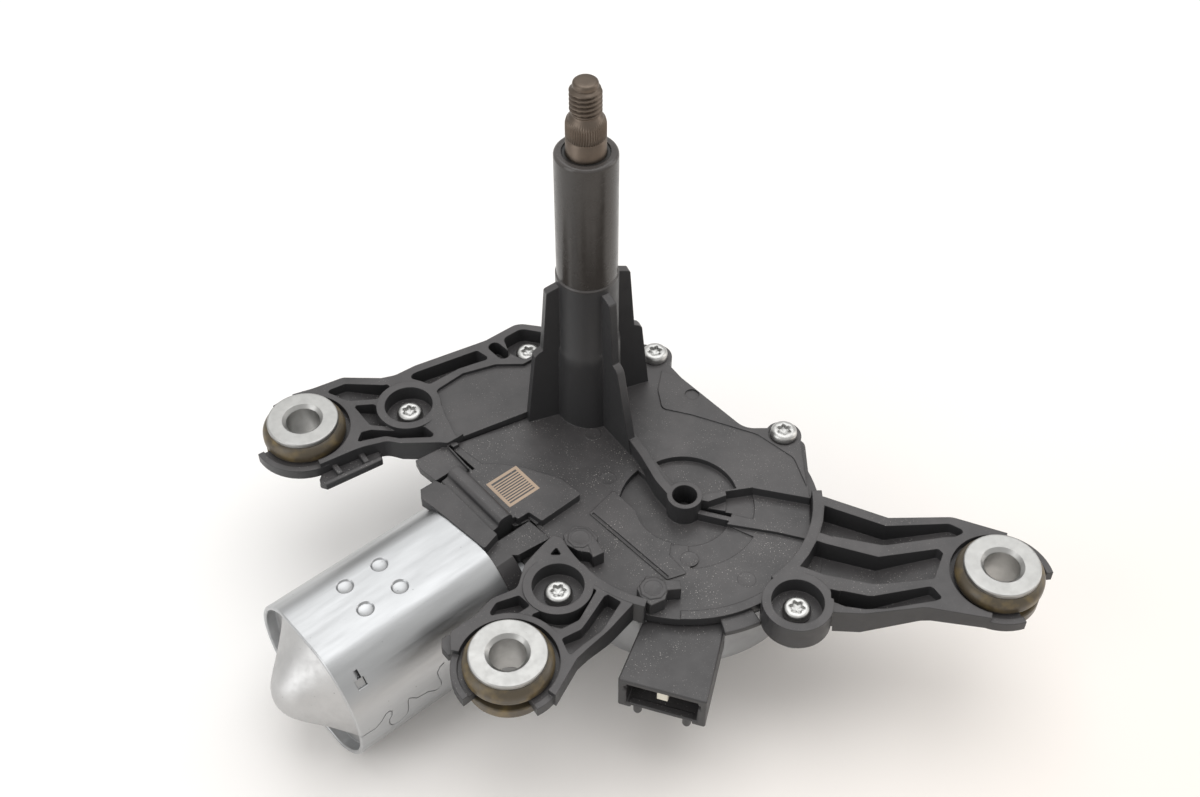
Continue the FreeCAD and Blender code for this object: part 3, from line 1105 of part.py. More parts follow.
def magnets():
    outer = CAN_R - CAN_WALL - ASSEMBLY_FIT
    x0 = CORE_REAR_X - 2.0
    x1 = CORE_FRONT_X + 2.0
    shell = tube_along(outer, CORE_R + AIR_GAP, x0, x1).common(clipped(outer, CAN_FLAT - CAN_WALL - ASSEMBLY_FIT, x0, x1))
    half = MAGNET_SPAN / 2
    return Part.makeCompound([shell.common(sector_along(side - half, side + half, 3 * CAN_R, x0, x1)) for side in (0, 180)])


def magnet_clips():
    half = 90.0 - MAGNET_SPAN / 2
    outer = CAN_FLAT - CAN_WALL - ASSEMBLY_FIT
    x0 = CORE_REAR_X + 1.0
    x1 = CORE_FRONT_X - 1.0
    shell = tube_along(outer, outer - CLIP_T, x0, x1)
    return Part.makeCompound([shell.common(sector_along(side - half, side + half, 3 * CAN_R, x0, x1)) for side in (90, 270)])


def armature_core():
    """Slotted stack pressed on the shaft."""
    body = tube_along(CORE_R, MOTOR_SHAFT_R, CORE_REAR_X, CORE_FRONT_X)
    for i in range(SLOTS):
        slot = Part.makeBox(CORE_LEN, SLOT_W, CORE_R, V(CORE_REAR_X, MOTOR_Y - SLOT_W / 2, MOTOR_Z + CORE_R - SLOT_DEPTH))
        body = body.cut(about_motor(slot, 360.0 / SLOTS * i))
    return body


def windings():
    """Copper in the slots with a rounded coil head at each end of the stack."""
    inner = MOTOR_SHAFT_R + 1.6
    heads = []
    for x, way in ((CORE_FRONT_X, 1), (CORE_REAR_X, -1)):
        heads.append(revolve_along([(x, inner), (x, COIL_R), (x + way * 4.2, COIL_R, 2.2), (x + way * 4.2, inner)]))
    bars = []
    for i in range(SLOTS):
        bar = Part.makeBox(CORE_LEN, SLOT_W, SLOT_DEPTH - 1.4,
                           V(CORE_REAR_X, MOTOR_Y - SLOT_W / 2, MOTOR_Z + CORE_R - SLOT_DEPTH))
        bars.append(about_motor(bar, 360.0 / SLOTS * i))
    return heads[0].fuse(bars + [heads[1]]).cut(commutator_body()).removeSplitter()


def commutator_body():
    return tube_along(COMMUTATOR_R, MOTOR_SHAFT_R, COMMUTATOR_X - COMMUTATOR_LEN, COMMUTATOR_X)


def commutator():
    """Copper segments on a moulded core, with a hook collar."""
    x0 = COMMUTATOR_X - COMMUTATOR_LEN
    body = commutator_body()
    for i in range(SLOTS):
        cut = Part.makeBox(COMMUTATOR_LEN - 1.6, 0.5, COMMUTATOR_CUT,
                           V(x0 + 1.6, MOTOR_Y - 0.25, MOTOR_Z + COMMUTATOR_R - COMMUTATOR_CUT))
        body = body.cut(about_motor(cut, 360.0 / SLOTS * (i + 0.5)))
    return body


def front_bearing():
    """Outer ring and shields of the ball bearing in the housing."""
    x0 = BEARING_X - BEARING_T
    body = tube_along(BEARING_R, BUSH_SEAT_R, x0, BEARING_X)
    return body.fuse([tube_along(7.8, 4.7, x0 + 0.4, x0 + 0.8), tube_along(7.8, 4.7, BEARING_X - 0.8, BEARING_X - 0.4)])


def bearing_inner():
    return tube_along(4.6, MOTOR_SHAFT_R, BEARING_X - BEARING_T, BEARING_X)


def nose_bush():
    return tube_along(TUNNEL_R, MOTOR_SHAFT_R + RUNNING_FIT, SHAFT_NOSE_X - 7.0, SHAFT_NOSE_X - 1.0)


def thrust_pad():
    return rod_along(TUNNEL_R, SHAFT_NOSE_X + ASSEMBLY_FIT, SHAFT_NOSE_X + 2.6)


def brush_holder():
    """Plastic plate between can and housing: a spigot, two brush tubes, a bare strip on top and a corner block."""
    inner = CAN_R - CAN_WALL - ASSEMBLY_FIT
    flat = CAN_FLAT - CAN_WALL - ASSEMBLY_FIT
    spigot_x = CAN_MOUTH_X - SPIGOT_LEN
    body = clipped(CAN_R, CAN_FLAT, CAN_MOUTH_X, HOUSING_FACE_X)
    body = body.cut(Part.makeBox(HOLDER_T, CAN_R, CAN_R, V(CAN_MOUTH_X, -21.9 - CAN_R, Z_BLOCK)))
    spigot = clipped(inner, flat, spigot_x, CAN_MOUTH_X).cut(rod_along(inner - SPIGOT_T, spigot_x, CAN_MOUTH_X))
    strip = prism([(-55.3, 2.9), (-50.5, 2.8), (-49.1, -0.9, 0.5), (-49.1, -21.9), (-54.3, -23.4, 0.5),
                   (-56.3, -3.4, 1.0), (-57.0, 0.3, 0.5)], Z_BLOCK, Z_CAN_TOP + 0.5)
    strip = strip.cut(clipped(CAN_R + ASSEMBLY_FIT, CAN_FLAT + ASSEMBLY_FIT, CAN_REAR_X, CAN_MOUTH_X))
    block = prism([(-53.4, -21.9), (-38.7, -21.9, 0.3), (-38.2, -29.8, 0.5), (-47.8, -28.8, 0.5), (-53.2, -24.0, 0.5)],
                  Z_SEAM, Z_BLOCK)
    cover_edge = prism(plate_outline(), Z_SEAM - 1.0, Z_RIM)
    body = body.fuse([spigot, strip, block.cut(cover_edge)])
    body = body.cut(rod_along(COMMUTATOR_R + 1.0, CAN_MOUTH_X, HOUSING_FACE_X))
    for turn in (0, 180):
        block = Part.makeBox(CAN_MOUTH_X - BRUSH_X0 + 1.0, BRUSH_W + 2 * BRUSH_TUBE_WALL, TUBE_OUT - TUBE_IN,
                             V(BRUSH_X0 - 1.0, MOTOR_Y - BRUSH_W / 2 - BRUSH_TUBE_WALL, MOTOR_Z + TUBE_IN))
        room = Part.makeBox(BRUSH_X1 - BRUSH_X0 + 2 * ASSEMBLY_FIT, BRUSH_W + 2 * ASSEMBLY_FIT,
                            TUBE_OUT - 1.0 - TUBE_IN,
                            V(BRUSH_X0 - ASSEMBLY_FIT, MOTOR_Y - BRUSH_W / 2 - ASSEMBLY_FIT, MOTOR_Z + TUBE_IN))
        body = body.fuse(about_motor(block, turn)).cut(about_motor(room, turn))
    return max(body.removeSplitter().Solids, key=lambda solid: solid.Volume)


def brushes():
    solids = []
    for turn in (0, 180):
        block = Part.makeBox(BRUSH_X1 - BRUSH_X0, BRUSH_W, BRUSH_OUT - COMMUTATOR_R + 1.5,
                             V(BRUSH_X0, MOTOR_Y - BRUSH_W / 2, MOTOR_Z + COMMUTATOR_R - 1.5))
        block = block.cut(rod_along(COMMUTATOR_R + RUNNING_FIT, BRUSH_X0, BRUSH_X1))
        solids.append(about_motor(block, turn))
    return Part.makeCompound(solids)


def brush_springs():
    solids = []
    middle = (BRUSH_X0 + BRUSH_X1) / 2
    for turn in (0, 180):
        spring = ring(SPRING_R, SPRING_BORE_R, MOTOR_Z + BRUSH_OUT, MOTOR_Z + TUBE_OUT - 1.0, (middle, MOTOR_Y))
        solids.append(about_motor(spring, turn))
    return Part.makeCompound(solids)


def chokes():
    solids = []
    for side in (-1, 1):
        at = (CAN_MOUTH_X - CHOKE_R, MOTOR_Y + side * (CORE_R - 1.8))
        solids.append(post(CHOKE_R, MOTOR_Z - CHOKE_LEN / 2, MOTOR_Z + CHOKE_LEN / 2, at))
    return Part.makeCompound(solids)


# Tower bushes

def upper_bush():
    top = Z_TUBE_TOP - SEAL_T
    return ring(TUBE_BORE_R, SHAFT_R + RUNNING_FIT, top - BUSH_LEN, top)


def lower_bush():
    return ring(TUBE_BORE_R, SHAFT_R + RUNNING_FIT, Z_BUSH_LOW, Z_BUSH_LOW + BUSH_LEN)


def shaft_seal():
    return ring(TUBE_BORE_R, SHAFT_R + RUNNING_FIT, Z_TUBE_TOP - SEAL_T, Z_TUBE_TOP - SOFT_GAP)


def thrust_washer():
    return ring(TUBE_R, SHAFT_R + RUNNING_FIT, Z_LEVER_TOP, Z_SEAM)


NODES = {
    "cover": cover,
    "gear_housing": gear_housing,
    "cover_gasket": gasket,
    "cover_screws": cover_screws,
    "connector_housing": connector_housing,
    "connector_terminals": connector_terminals,
    "contact_springs": contact_springs,
    "spindle": spindle,
    "lever": lever,
    "lever_pin": lever_pin,
    "connecting_rod": connecting_rod,
    "upper_bush": upper_bush,
    "lower_bush": lower_bush,
    "shaft_seal": shaft_seal,
    "thrust_washer": thrust_washer,
    "worm_wheel": worm_wheel,
    "contact_ring": contact_ring,
    "crank_pin": crank_pin,
    "wheel_axle": wheel_axle,
    "armature_shaft": armature_shaft,
    "armature_core": armature_core,
    "windings": windings,
    "commutator": commutator,
    "bearing_inner": bearing_inner,
    "front_bearing": front_bearing,
    "nose_bush": nose_bush,
    "thrust_pad": thrust_pad,
    "rear_bush": rear_bush,
    "yoke_can": yoke_can,
    "end_plate": end_plate,
    "magnets": magnets,
    "magnet_clips": magnet_clips,
    "brush_holder": brush_holder,
    "brushes": brushes,
    "brush_springs": brush_springs,
    "chokes": chokes,
}

for name, make in NODES.items():
    make().exportStep(os.path.join("parts", name + ".step"))

MOUNTS = {"a": MOUNT_A, "b": MOUNT_B, "c": MOUNT_C}

for letter, at in MOUNTS.items():
    grommet(at).exportStep(os.path.join("parts", "grommet_" + letter + ".step"))
    bushing(at).exportStep(os.path.join("parts", "bushing_" + letter + ".step"))

Part.makeCompound([bushing_washer(at) for at in MOUNTS.values()]).exportStep("parts/bushing_washers.step")
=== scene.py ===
import json
import math

import bmesh
import bpy
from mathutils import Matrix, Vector


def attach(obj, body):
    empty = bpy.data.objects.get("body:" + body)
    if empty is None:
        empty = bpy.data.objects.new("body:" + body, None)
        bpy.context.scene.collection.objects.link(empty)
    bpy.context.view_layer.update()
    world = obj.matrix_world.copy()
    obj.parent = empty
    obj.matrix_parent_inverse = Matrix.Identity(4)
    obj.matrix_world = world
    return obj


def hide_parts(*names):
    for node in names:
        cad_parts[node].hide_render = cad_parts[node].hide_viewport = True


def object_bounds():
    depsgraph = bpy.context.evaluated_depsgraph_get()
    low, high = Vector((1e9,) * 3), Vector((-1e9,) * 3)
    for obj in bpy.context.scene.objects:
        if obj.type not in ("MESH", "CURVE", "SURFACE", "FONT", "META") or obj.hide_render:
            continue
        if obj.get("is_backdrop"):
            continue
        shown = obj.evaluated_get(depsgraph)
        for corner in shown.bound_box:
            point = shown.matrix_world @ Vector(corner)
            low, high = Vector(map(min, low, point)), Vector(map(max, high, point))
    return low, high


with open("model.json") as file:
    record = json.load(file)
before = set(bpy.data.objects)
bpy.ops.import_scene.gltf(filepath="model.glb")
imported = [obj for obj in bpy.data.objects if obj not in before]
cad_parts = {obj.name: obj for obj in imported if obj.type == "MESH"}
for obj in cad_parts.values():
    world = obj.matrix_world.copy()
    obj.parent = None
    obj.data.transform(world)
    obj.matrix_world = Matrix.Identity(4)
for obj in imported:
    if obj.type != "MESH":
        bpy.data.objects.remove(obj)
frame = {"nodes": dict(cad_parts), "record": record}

# The frame is in metres; sizes below are in millimetres and scaled by MM.
MM = 0.001
NODES = frame["nodes"]

# Levels and places that the pieces below share with the CAD or with each other
TUBE_LOW_Z = -49.2
RIM_Z = -94.9
LUG_Z = -95.5
PAD_Z = -97.2
PLATE_Z = -99.7
SEAM_Z = -102.2
HUB = (-4.3, -44.2)
WELL_E = (-6.0, -87.2)
ARM_C_AZ = math.degrees(math.atan2(-114.2 - HUB[1], 38.3 - HUB[0]))
MOTOR_Y = -15.1
MOTOR_Z = -116.7
CAN_R = 22.0
CAN_FLAT = 20.2
CAN_REAR_X = -104.4
CAN_MOUTH_X = -54.5
END_PLATE_X = -101.4
LUG_TOP_Z = LUG_Z + 0.35
LUG_PLACES = [(-34.0, -37.0), (-30.3, -60.9)]
SOCKET_ROOT = (-28.49, -70.59)
SOCKET_AZ = 212.0
# How deep an added form reaches into what it stands on, and how far a cut goes past a top
SINK = 0.3
CUT_OVER = 2.0


def write_sizes(stage_name, sizes):
    lo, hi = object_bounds()
    sizes[stage_name] = {"low_m": [float(v) for v in lo], "high_m": [float(v) for v in hi]}


SIZES = {}
write_sizes("loaded", SIZES)


# Shader helpers

class Shader:
    """A small builder for a procedural Principled material."""

    def __init__(self, name, color, roughness, metallic=0.0):
        self.material = bpy.data.materials.new(name)
        self.material.use_nodes = True
        self.tree = self.material.node_tree
        self.bsdf = next(n for n in self.tree.nodes if n.type == "BSDF_PRINCIPLED")
        self.bsdf.inputs["Base Color"].default_value = (*color, 1.0)
        self.bsdf.inputs["Roughness"].default_value = roughness
        self.bsdf.inputs["Metallic"].default_value = metallic
        self.coords = self.tree.nodes.new("ShaderNodeTexCoord")
        self.normal = None
        self.color_source = None

    def link(self, a, b):
        self.tree.links.new(a, b)

    def noise(self, scale_mm, detail, roughness=0.55, stretch=(1.0, 1.0, 1.0)):
        """Noise whose features are about scale_mm wide, 0 to 1."""
        mapping = self.tree.nodes.new("ShaderNodeMapping")
        k = 1000.0 / scale_mm
        mapping.inputs["Scale"].default_value = tuple(k * s for s in stretch)
        self.link(self.coords.outputs["Object"], mapping.inputs["Vector"])
        node = self.tree.nodes.new("ShaderNodeTexNoise")
        node.inputs["Scale"].default_value = 1.0
        node.inputs["Detail"].default_value = detail
        node.inputs["Roughness"].default_value = roughness
        self.link(mapping.outputs["Vector"], node.inputs["Vector"])
        return node.outputs["Fac"]

    def specks(self, spacing_mm, radius):
        """Small round dots about spacing_mm apart, 1 inside a dot."""
        mapping = self.tree.nodes.new("ShaderNodeMapping")
        mapping.inputs["Scale"].default_value = (1000.0 / spacing_mm,) * 3
        self.link(self.coords.outputs["Object"], mapping.inputs["Vector"])
        node = self.tree.nodes.new("ShaderNodeTexVoronoi")
        node.inputs["Scale"].default_value = 1.0
        self.link(mapping.outputs["Vector"], node.inputs["Vector"])
        return self.ramp(node.outputs["Distance"], radius * 1.3, radius * 0.7)

    def along(self, axis):
        """Object coordinate in metres along an axis, 0 to 2."""
        split = self.tree.nodes.new("ShaderNodeSeparateXYZ")
        self.link(self.coords.outputs["Object"], split.inputs["Vector"])
        return split.outputs[axis]

    def height(self):
        """Height of the point in millimetres."""
        return self.math("MULTIPLY", self.along(2), 1.0 / MM)

    def ramp(self, source, low, high, to_low=0.0, to_high=1.0):
        node = self.tree.nodes.new("ShaderNodeMapRange")
        node.inputs["From Min"].default_value = low
        node.inputs["From Max"].default_value = high
        node.inputs["To Min"].default_value = to_low
        node.inputs["To Max"].default_value = to_high
        self.link(source, node.inputs["Value"])
        return node.outputs["Result"]

    def math(self, operation, a, b):
        node = self.tree.nodes.new("ShaderNodeMath")
        node.operation = operation
        for i, value in enumerate((a, b)):
            if isinstance(value, (int, float)):
                node.inputs[i].default_value = value
            else:
                self.link(value, node.inputs[i])
        return node.outputs["Value"]

    def mix_color(self, factor, color):
        """Paints another colour over the present one where factor is high."""
        node = self.tree.nodes.new("ShaderNodeMix")
        node.data_type = "RGBA"
        if isinstance(factor, (int, float)):
            node.inputs["Factor"].default_value = factor
        else:
            self.link(factor, node.inputs["Factor"])
        if self.color_source is None:
            node.inputs["A"].default_value = self.bsdf.inputs["Base Color"].default_value
        else:
            self.link(self.color_source, node.inputs["A"])
        node.inputs["B"].default_value = (*color, 1.0)
        self.color_source = node.outputs["Result"]
        self.link(self.color_source, self.bsdf.inputs["Base Color"])

    def set_roughness(self, source):
        self.link(source, self.bsdf.inputs["Roughness"])

    def facing_up(self, low=0.2, high=0.9):
        """1 on faces that look up."""
        geometry = self.tree.nodes.new("ShaderNodeNewGeometry")
        split = self.tree.nodes.new("ShaderNodeSeparateXYZ")
        self.link(geometry.outputs["Normal"], split.inputs["Vector"])
        return self.ramp(split.outputs["Z"], low, high)

    def round_edges(self, radius_mm, samples=6):
        node = self.tree.nodes.new("ShaderNodeBevel")
        node.samples = samples
        node.inputs["Radius"].default_value = radius_mm * MM
        self.normal = node.outputs["Normal"]
        self.link(self.normal, self.bsdf.inputs["Normal"])

    def bump(self, source, height_mm, strength):
        node = self.tree.nodes.new("ShaderNodeBump")
        node.inputs["Strength"].default_value = strength
        node.inputs["Distance"].default_value = height_mm * MM
        self.link(source, node.inputs["Height"])
        if self.normal is not None:
            self.link(self.normal, node.inputs["Normal"])
        self.normal = node.outputs["Normal"]
        self.link(self.normal, self.bsdf.inputs["Normal"])


def black_plastic(name, base, dust_and_sheen, edge, smooth_above=None):
    """Charcoal moulding with a fine grain, a dusty film with painted sheen that lightens the faces looking
    up, and small bright specks in its low places.

    Above the level smooth_above it is smoother and browner.
    """
    # The middle colour is the pale grey of the dusty film with painted sheen on the tops.
    tube_color, dust_sheen_color, speck_color = (0.036, 0.032, 0.029), (0.36, 0.33, 0.33), (0.52, 0.50, 0.47)
    s = Shader(name, (base, base, base * 1.05), 0.40)
    s.bsdf.inputs["Specular IOR Level"].default_value = 0.5
    s.round_edges(edge)
    s.bump(s.noise(0.35, 2.0), 0.015, 0.45)
    s.bump(s.noise(7.0, 2.0), 0.04, 0.25)
    rough = s.ramp(s.noise(3.0, 4.0), 0.3, 0.7, 0.34, 0.46)
    if smooth_above is not None:
        high = s.ramp(s.height(), smooth_above - 1.0, smooth_above + 1.0)
        rough = s.math("SUBTRACT", rough, s.math("MULTIPLY", high, 0.15))
        s.mix_color(high, tube_color)
    s.set_roughness(rough)
    up = s.facing_up()
    low = s.ramp(s.height(), -95.0, -99.0, 0.25, 1.0)
    # Dusty film and painted sheen: faces looking up are lightened towards a pale grey, so the tops read
    # lighter than the walls.
    dust_sheen_film = s.math("MULTIPLY", s.ramp(s.noise(14.0, 5.0, 0.65), 0.3, 0.8, 0.35, 1.0), up)
    s.mix_color(s.math("MULTIPLY", dust_sheen_film, 0.17 * dust_and_sheen), dust_sheen_color)
    where = s.math("MULTIPLY", s.math("MULTIPLY", s.ramp(s.noise(9.0, 3.0), 0.38, 0.60), low), up)
    for size, amount in ((0.8, 0.8), (0.45, 0.6)):
        specks = s.specks(size, 0.13)
        s.mix_color(s.math("MULTIPLY", s.math("MULTIPLY", specks, where), amount * dust_and_sheen), speck_color)
    return s.material


def zinc(name, color, roughness, edge, stain, streak=(1.0, 1.0, 1.0), grain=0.012):
    """Zinc plate: a cloudy grey metal with fine grain, streaks along the part and a few dark pits."""
    s = Shader(name, color, roughness, 1.0)
    s.round_edges(edge)
    s.bump(s.noise(0.7, 4.0, stretch=streak), grain, 0.6)
    s.set_roughness(s.ramp(s.noise(2.0, 4.0, stretch=streak), 0.3, 0.7, roughness - 0.05, roughness + 0.10))
    clouds = s.ramp(s.noise(5.0, 5.0, 0.65, streak), 0.42, 0.75)
    s.mix_color(s.math("MULTIPLY", clouds, stain), tuple(c * 0.70 for c in color))
    pits = s.math("MULTIPLY", s.specks(2.6, 0.07), s.ramp(s.noise(6.0, 2.0), 0.5, 0.6))
    s.mix_color(s.math("MULTIPLY", pits, 0.6), tuple(c * 0.35 for c in color))
    return s.material


def steel(name, color, roughness, edge=0.25, grain=0.5):
    s = Shader(name, color, roughness, 1.0)
    s.round_edges(edge)
    s.bump(s.noise(0.9, 3.0), 0.012, grain)
    s.set_roughness(s.ramp(s.noise(2.0, 3.0), 0.3, 0.7, roughness - 0.05, roughness + 0.08))
    clouds = s.ramp(s.noise(4.0, 4.0), 0.45, 0.75)
    s.mix_color(s.math("MULTIPLY", clouds, 0.3), tuple(c * 0.6 for c in color))
    return s.material


def cast(name):
    s = Shader(name, (0.42, 0.43, 0.44), 0.48, 1.0)
    s.round_edges(0.8)
    s.bump(s.noise(0.8, 4.0), 0.05, 0.7)
    s.bump(s.noise(7.0, 3.0), 0.1, 0.4)
    s.mix_color(s.math("MULTIPLY", s.ramp(s.noise(8.0, 4.0), 0.4, 0.75), 0.45), (0.22, 0.22, 0.23))
    return s.material


def rubber(name, color=(0.072, 0.057, 0.036), stain=(0.23, 0.165, 0.065), amount=0.65):
    """Rubber with a satin skin and yellowish stains."""
    s = Shader(name, color, 0.36)
    s.round_edges(0.5)
    s.bump(s.noise(0.6, 3.0), 0.02, 0.4)
    s.set_roughness(s.ramp(s.noise(2.5, 4.0), 0.3, 0.7, 0.28, 0.46))
    s.mix_color(s.math("MULTIPLY", s.ramp(s.noise(5.0, 4.0), 0.48, 0.72), amount), stain)
    return s.material


def plain(name, color, roughness, metallic=0.0, edge=0.3):
    s = Shader(name, color, roughness, metallic)
    s.round_edges(edge)
    s.bump(s.noise(1.0, 3.0), 0.015, 0.5)
    clouds = s.ramp(s.noise(5.0, 4.0), 0.45, 0.75)
    s.mix_color(s.math("MULTIPLY", clouds, 0.25), tuple(c * 0.7 for c in color))
    return s.material


MATERIALS = {
    "black_moulding": black_plastic("cover plastic", 0.032, 1.0, 0.4, TUBE_LOW_Z),
    "black_socket": black_plastic("socket plastic", 0.029, 0.7, 0.3),
    "black_holder": black_plastic("holder plastic", 0.026, 0.8, 0.3),
    "cast_aluminium": cast("cast aluminium"),
    "seal_rubber": rubber("seal rubber", (0.018, 0.018, 0.018), (0.03, 0.028, 0.025), 0.3),
    "mount_rubber": rubber("mount rubber"),
    "bright_zinc": zinc("screw zinc", (0.56, 0.56, 0.55), 0.36, 0.15, 0.35),
    "bushing_zinc": zinc("bushing zinc", (0.46, 0.46, 0.45), 0.38, 0.3, 0.55, grain=0.03),
    "zinc_can": zinc("can zinc", (0.49, 0.50, 0.51), 0.36, 0.25, 0.3, (0.12, 1.0, 1.0)),
    "zinc_plate": zinc("end plate zinc", (0.50, 0.50, 0.50), 0.38, 0.3, 0.3),
    "tinned_brass": plain("tinned brass", (0.62, 0.55, 0.38), 0.3, 1.0, 0.15),
    "spring_bronze": plain("spring bronze", (0.55, 0.36, 0.15), 0.32, 1.0, 0.15),
    "contact_brass": plain("contact brass", (0.66, 0.45, 0.18), 0.3, 1.0, 0.15),
    "sintered_bronze": plain("sintered bronze", (0.32, 0.20, 0.09), 0.5, 1.0),
    "spindle_steel": steel("spindle steel", (0.150, 0.122, 0.100), 0.42, 0.08, 0.4),
    "lever_steel": steel("lever steel", (0.35, 0.36, 0.37), 0.42),
    "pin_steel": steel("pin steel", (0.48, 0.49, 0.50), 0.28),
    "rod_steel": steel("rod steel", (0.38, 0.39, 0.40), 0.4),
    "shaft_steel": steel("shaft steel", (0.52, 0.53, 0.54), 0.24),
    "core_steel": steel("core steel", (0.22, 0.22, 0.23), 0.5),
    "bearing_steel": steel("bearing steel", (0.55, 0.56, 0.57), 0.22),
    "clip_steel": steel("clip steel", (0.45, 0.46, 0.47), 0.32),
    "washer_nylon": plain("washer nylon", (0.66, 0.63, 0.54), 0.45),
    "gear_nylon": plain("gear nylon", (0.72, 0.69, 0.60), 0.42),
    "winding_copper": plain("winding copper", (0.42, 0.13, 0.045), 0.34, 0.8),
    "commutator_copper": plain("commutator copper", (0.60, 0.24, 0.10), 0.3, 1.0, 0.15),
    "magnet_ferrite": plain("magnet ferrite", (0.045, 0.045, 0.048), 0.6),
    "brush_carbon": plain("brush carbon", (0.02, 0.02, 0.021), 0.55),
}

for part in frame["record"]["subparts"]:
    node = NODES[part["node"]]
    node.data.materials.clear()
    node.data.materials.append(MATERIALS[part["material_slot"]])


# Mesh helpers. Sizes are in millimetres until a mesh is made.

def mesh_of(name, part):
    """Blender mesh of a (vertices, faces) part."""
    verts, faces = part
    mesh = bpy.data.meshes.new(name)
    mesh.from_pydata([tuple(c * MM for c in v) for v in verts], [], faces)
    return mesh


def add_piece(name, parts, material, body="base", sharp=32.0, bevel=0.0):
    """Makes one object of several (vertices, faces) parts, riding on a body."""
    return add_object(name, mesh_of(name, merged(parts)), material, body, sharp, bevel)


def add_object(name, mesh, material, body="base", sharp=32.0, bevel=0.0):
    mesh.materials.clear()
    mesh.materials.append(MATERIALS[material])
    mesh.shade_smooth()
    mesh.set_sharp_from_angle(angle=math.radians(sharp))
    piece = bpy.data.objects.new(name, mesh)
    bpy.context.scene.collection.objects.link(piece)
    if bevel:
        modifier = piece.modifiers.new("edges", "BEVEL")
        modifier.width = bevel * MM
        modifier.segments = 2
        modifier.limit_method = "ANGLE"
        modifier.angle_limit = math.radians(35.0)
    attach(piece, body)
    return piece


def merged(parts):
    verts, faces = [], []
    for part_verts, part_faces in parts:
        start = len(verts)
        verts += part_verts
        faces += [tuple(i + start for i in face) for face in part_faces]
    return verts, faces


def loft(rings, closed=True):
    """Skin over rings with the same count of points, closed around and, if asked, at both ends."""
    count = len(rings[0])
    verts = [point for ring in rings for point in ring]
    faces = []
    for i in range(len(rings) - 1):
        for j in range(count):
            k = (j + 1) % count
            faces.append((i * count + j, i * count + k, (i + 1) * count + k, (i + 1) * count + j))
    if closed:
        faces.append(tuple(reversed(range(count))))
        last = (len(rings) - 1) * count
        faces.append(tuple(last + j for j in range(count)))
    return verts, faces


def closed_loft(rings):
    """Skin over rings where the last joins the first, as on a tube with a wall."""
    verts, faces = loft(rings + [rings[0]], closed=False)
    total = len(verts) - len(rings[0])
    return verts[:total], [tuple(i % total for i in face) for face in faces]


def rounded(points, step=20.0):
    """Outline whose points may carry a corner radius as a third value."""
    out = []
    count = len(points)
    for i, point in enumerate(points):
        here = Vector(point[:2])
        radius = point[2] if len(point) > 2 else 0.0
        if not radius:
            out.append(tuple(here))
            continue
        before = (Vector(points[i - 1][:2]) - here).normalized()
        after = (Vector(points[(i + 1) % count][:2]) - here).normalized()
        half = before.angle(after) / 2
        back = radius / math.tan(half)
        middle = here + (before + after).normalized() * radius / math.sin(half)
        start = here + before * back - middle
        turn = math.pi - 2 * half
        side = 1.0 if start.cross(here + after * back - middle) > 0 else -1.0
        steps = max(2, math.ceil(math.degrees(turn) / step))
        for k in range(steps + 1):
            angle = side * turn * k / steps
            spun = Vector((start.x * math.cos(angle) - start.y * math.sin(angle),
                           start.x * math.sin(angle) + start.y * math.cos(angle)))
            out.append(tuple(middle + spun))
    return out


def prism(points, z0, z1):
    """Upright block on an outline, which may run either way."""
    line = rounded(points)
    area = sum(line[i - 1][0] * line[i][1] - line[i][0] * line[i - 1][1] for i in range(len(line)))
    if area < 0:
        line = line[::-1]
    return loft([[(x, y, z0) for x, y in line], [(x, y, z1) for x, y in line]])


def with_corners(points, radius):
    """Outline points that all carry the same corner radius."""
    return [(x, y, radius) for x, y in points]


def rect(x0, x1, y0, y1):
    return [(x0, y0), (x1, y0), (x1, y1), (x0, y1)]


def arc(centre, radius, az0, az1, steps=24):
    angles = [math.radians(az0 + (az1 - az0) * i / steps) for i in range(steps + 1)]
    return [(centre[0] + radius * math.cos(a), centre[1] + radius * math.sin(a)) for a in angles]


def arc_band(centre, outer, inner, az0, az1, z0, z1, steps):
    """Upright block between two arcs about the same centre."""
    return prism(arc(centre, outer, az0, az1, steps) + arc(centre, inner, az1, az0, steps), z0, z1)


def circle(radius, z, count, at=(0.0, 0.0)):
    """Level ring about an upright axis; the radius may be a function of the share of a full turn."""
    ring = []
    for j in range(count):
        turn = j / count
        r = radius(turn) if callable(radius) else radius
        ring.append((at[0] + r * math.cos(2 * math.pi * turn), at[1] + r * math.sin(2 * math.pi * turn), z))
    return ring


def turned_profile(profile, at, count):
    """Solid of revolution about an upright axis; the profile runs from one end to the other."""
    return loft([circle(radius, z, count, at) for radius, z in profile])


def in_frame(points, origin, azimuth):
    """Plan points given along and across a direction."""
    c, s = math.cos(math.radians(azimuth)), math.sin(math.radians(azimuth))
    return [(origin[0] + p[0] * c - p[1] * s, origin[1] + p[0] * s + p[1] * c, *p[2:]) for p in points]


def box_in(origin, azimuth, l0, l1, t0, t1, z0, z1):
    """Block from l0 to l1 along a direction and from t0 to t1 across it."""
    return prism(in_frame(rect(l0, l1, t0, t1), origin, azimuth), z0, z1)


def as_outward(part):
    """A closed part with its faces turned outwards."""
    verts, faces = part
    work = bmesh.new()
    made = [work.verts.new(v) for v in verts]
    for face in faces:
        work.faces.new([made[i] for i in face])
    work.normal_update()
    bmesh.ops.recalc_face_normals(work, faces=work.faces)
    if work.calc_volume(signed=True) < 0:
        bmesh.ops.reverse_faces(work, faces=work.faces)
    work.verts.index_update()
    turned = [tuple(v.index for v in face.verts) for face in work.faces]
    work.free()
    return verts, turned


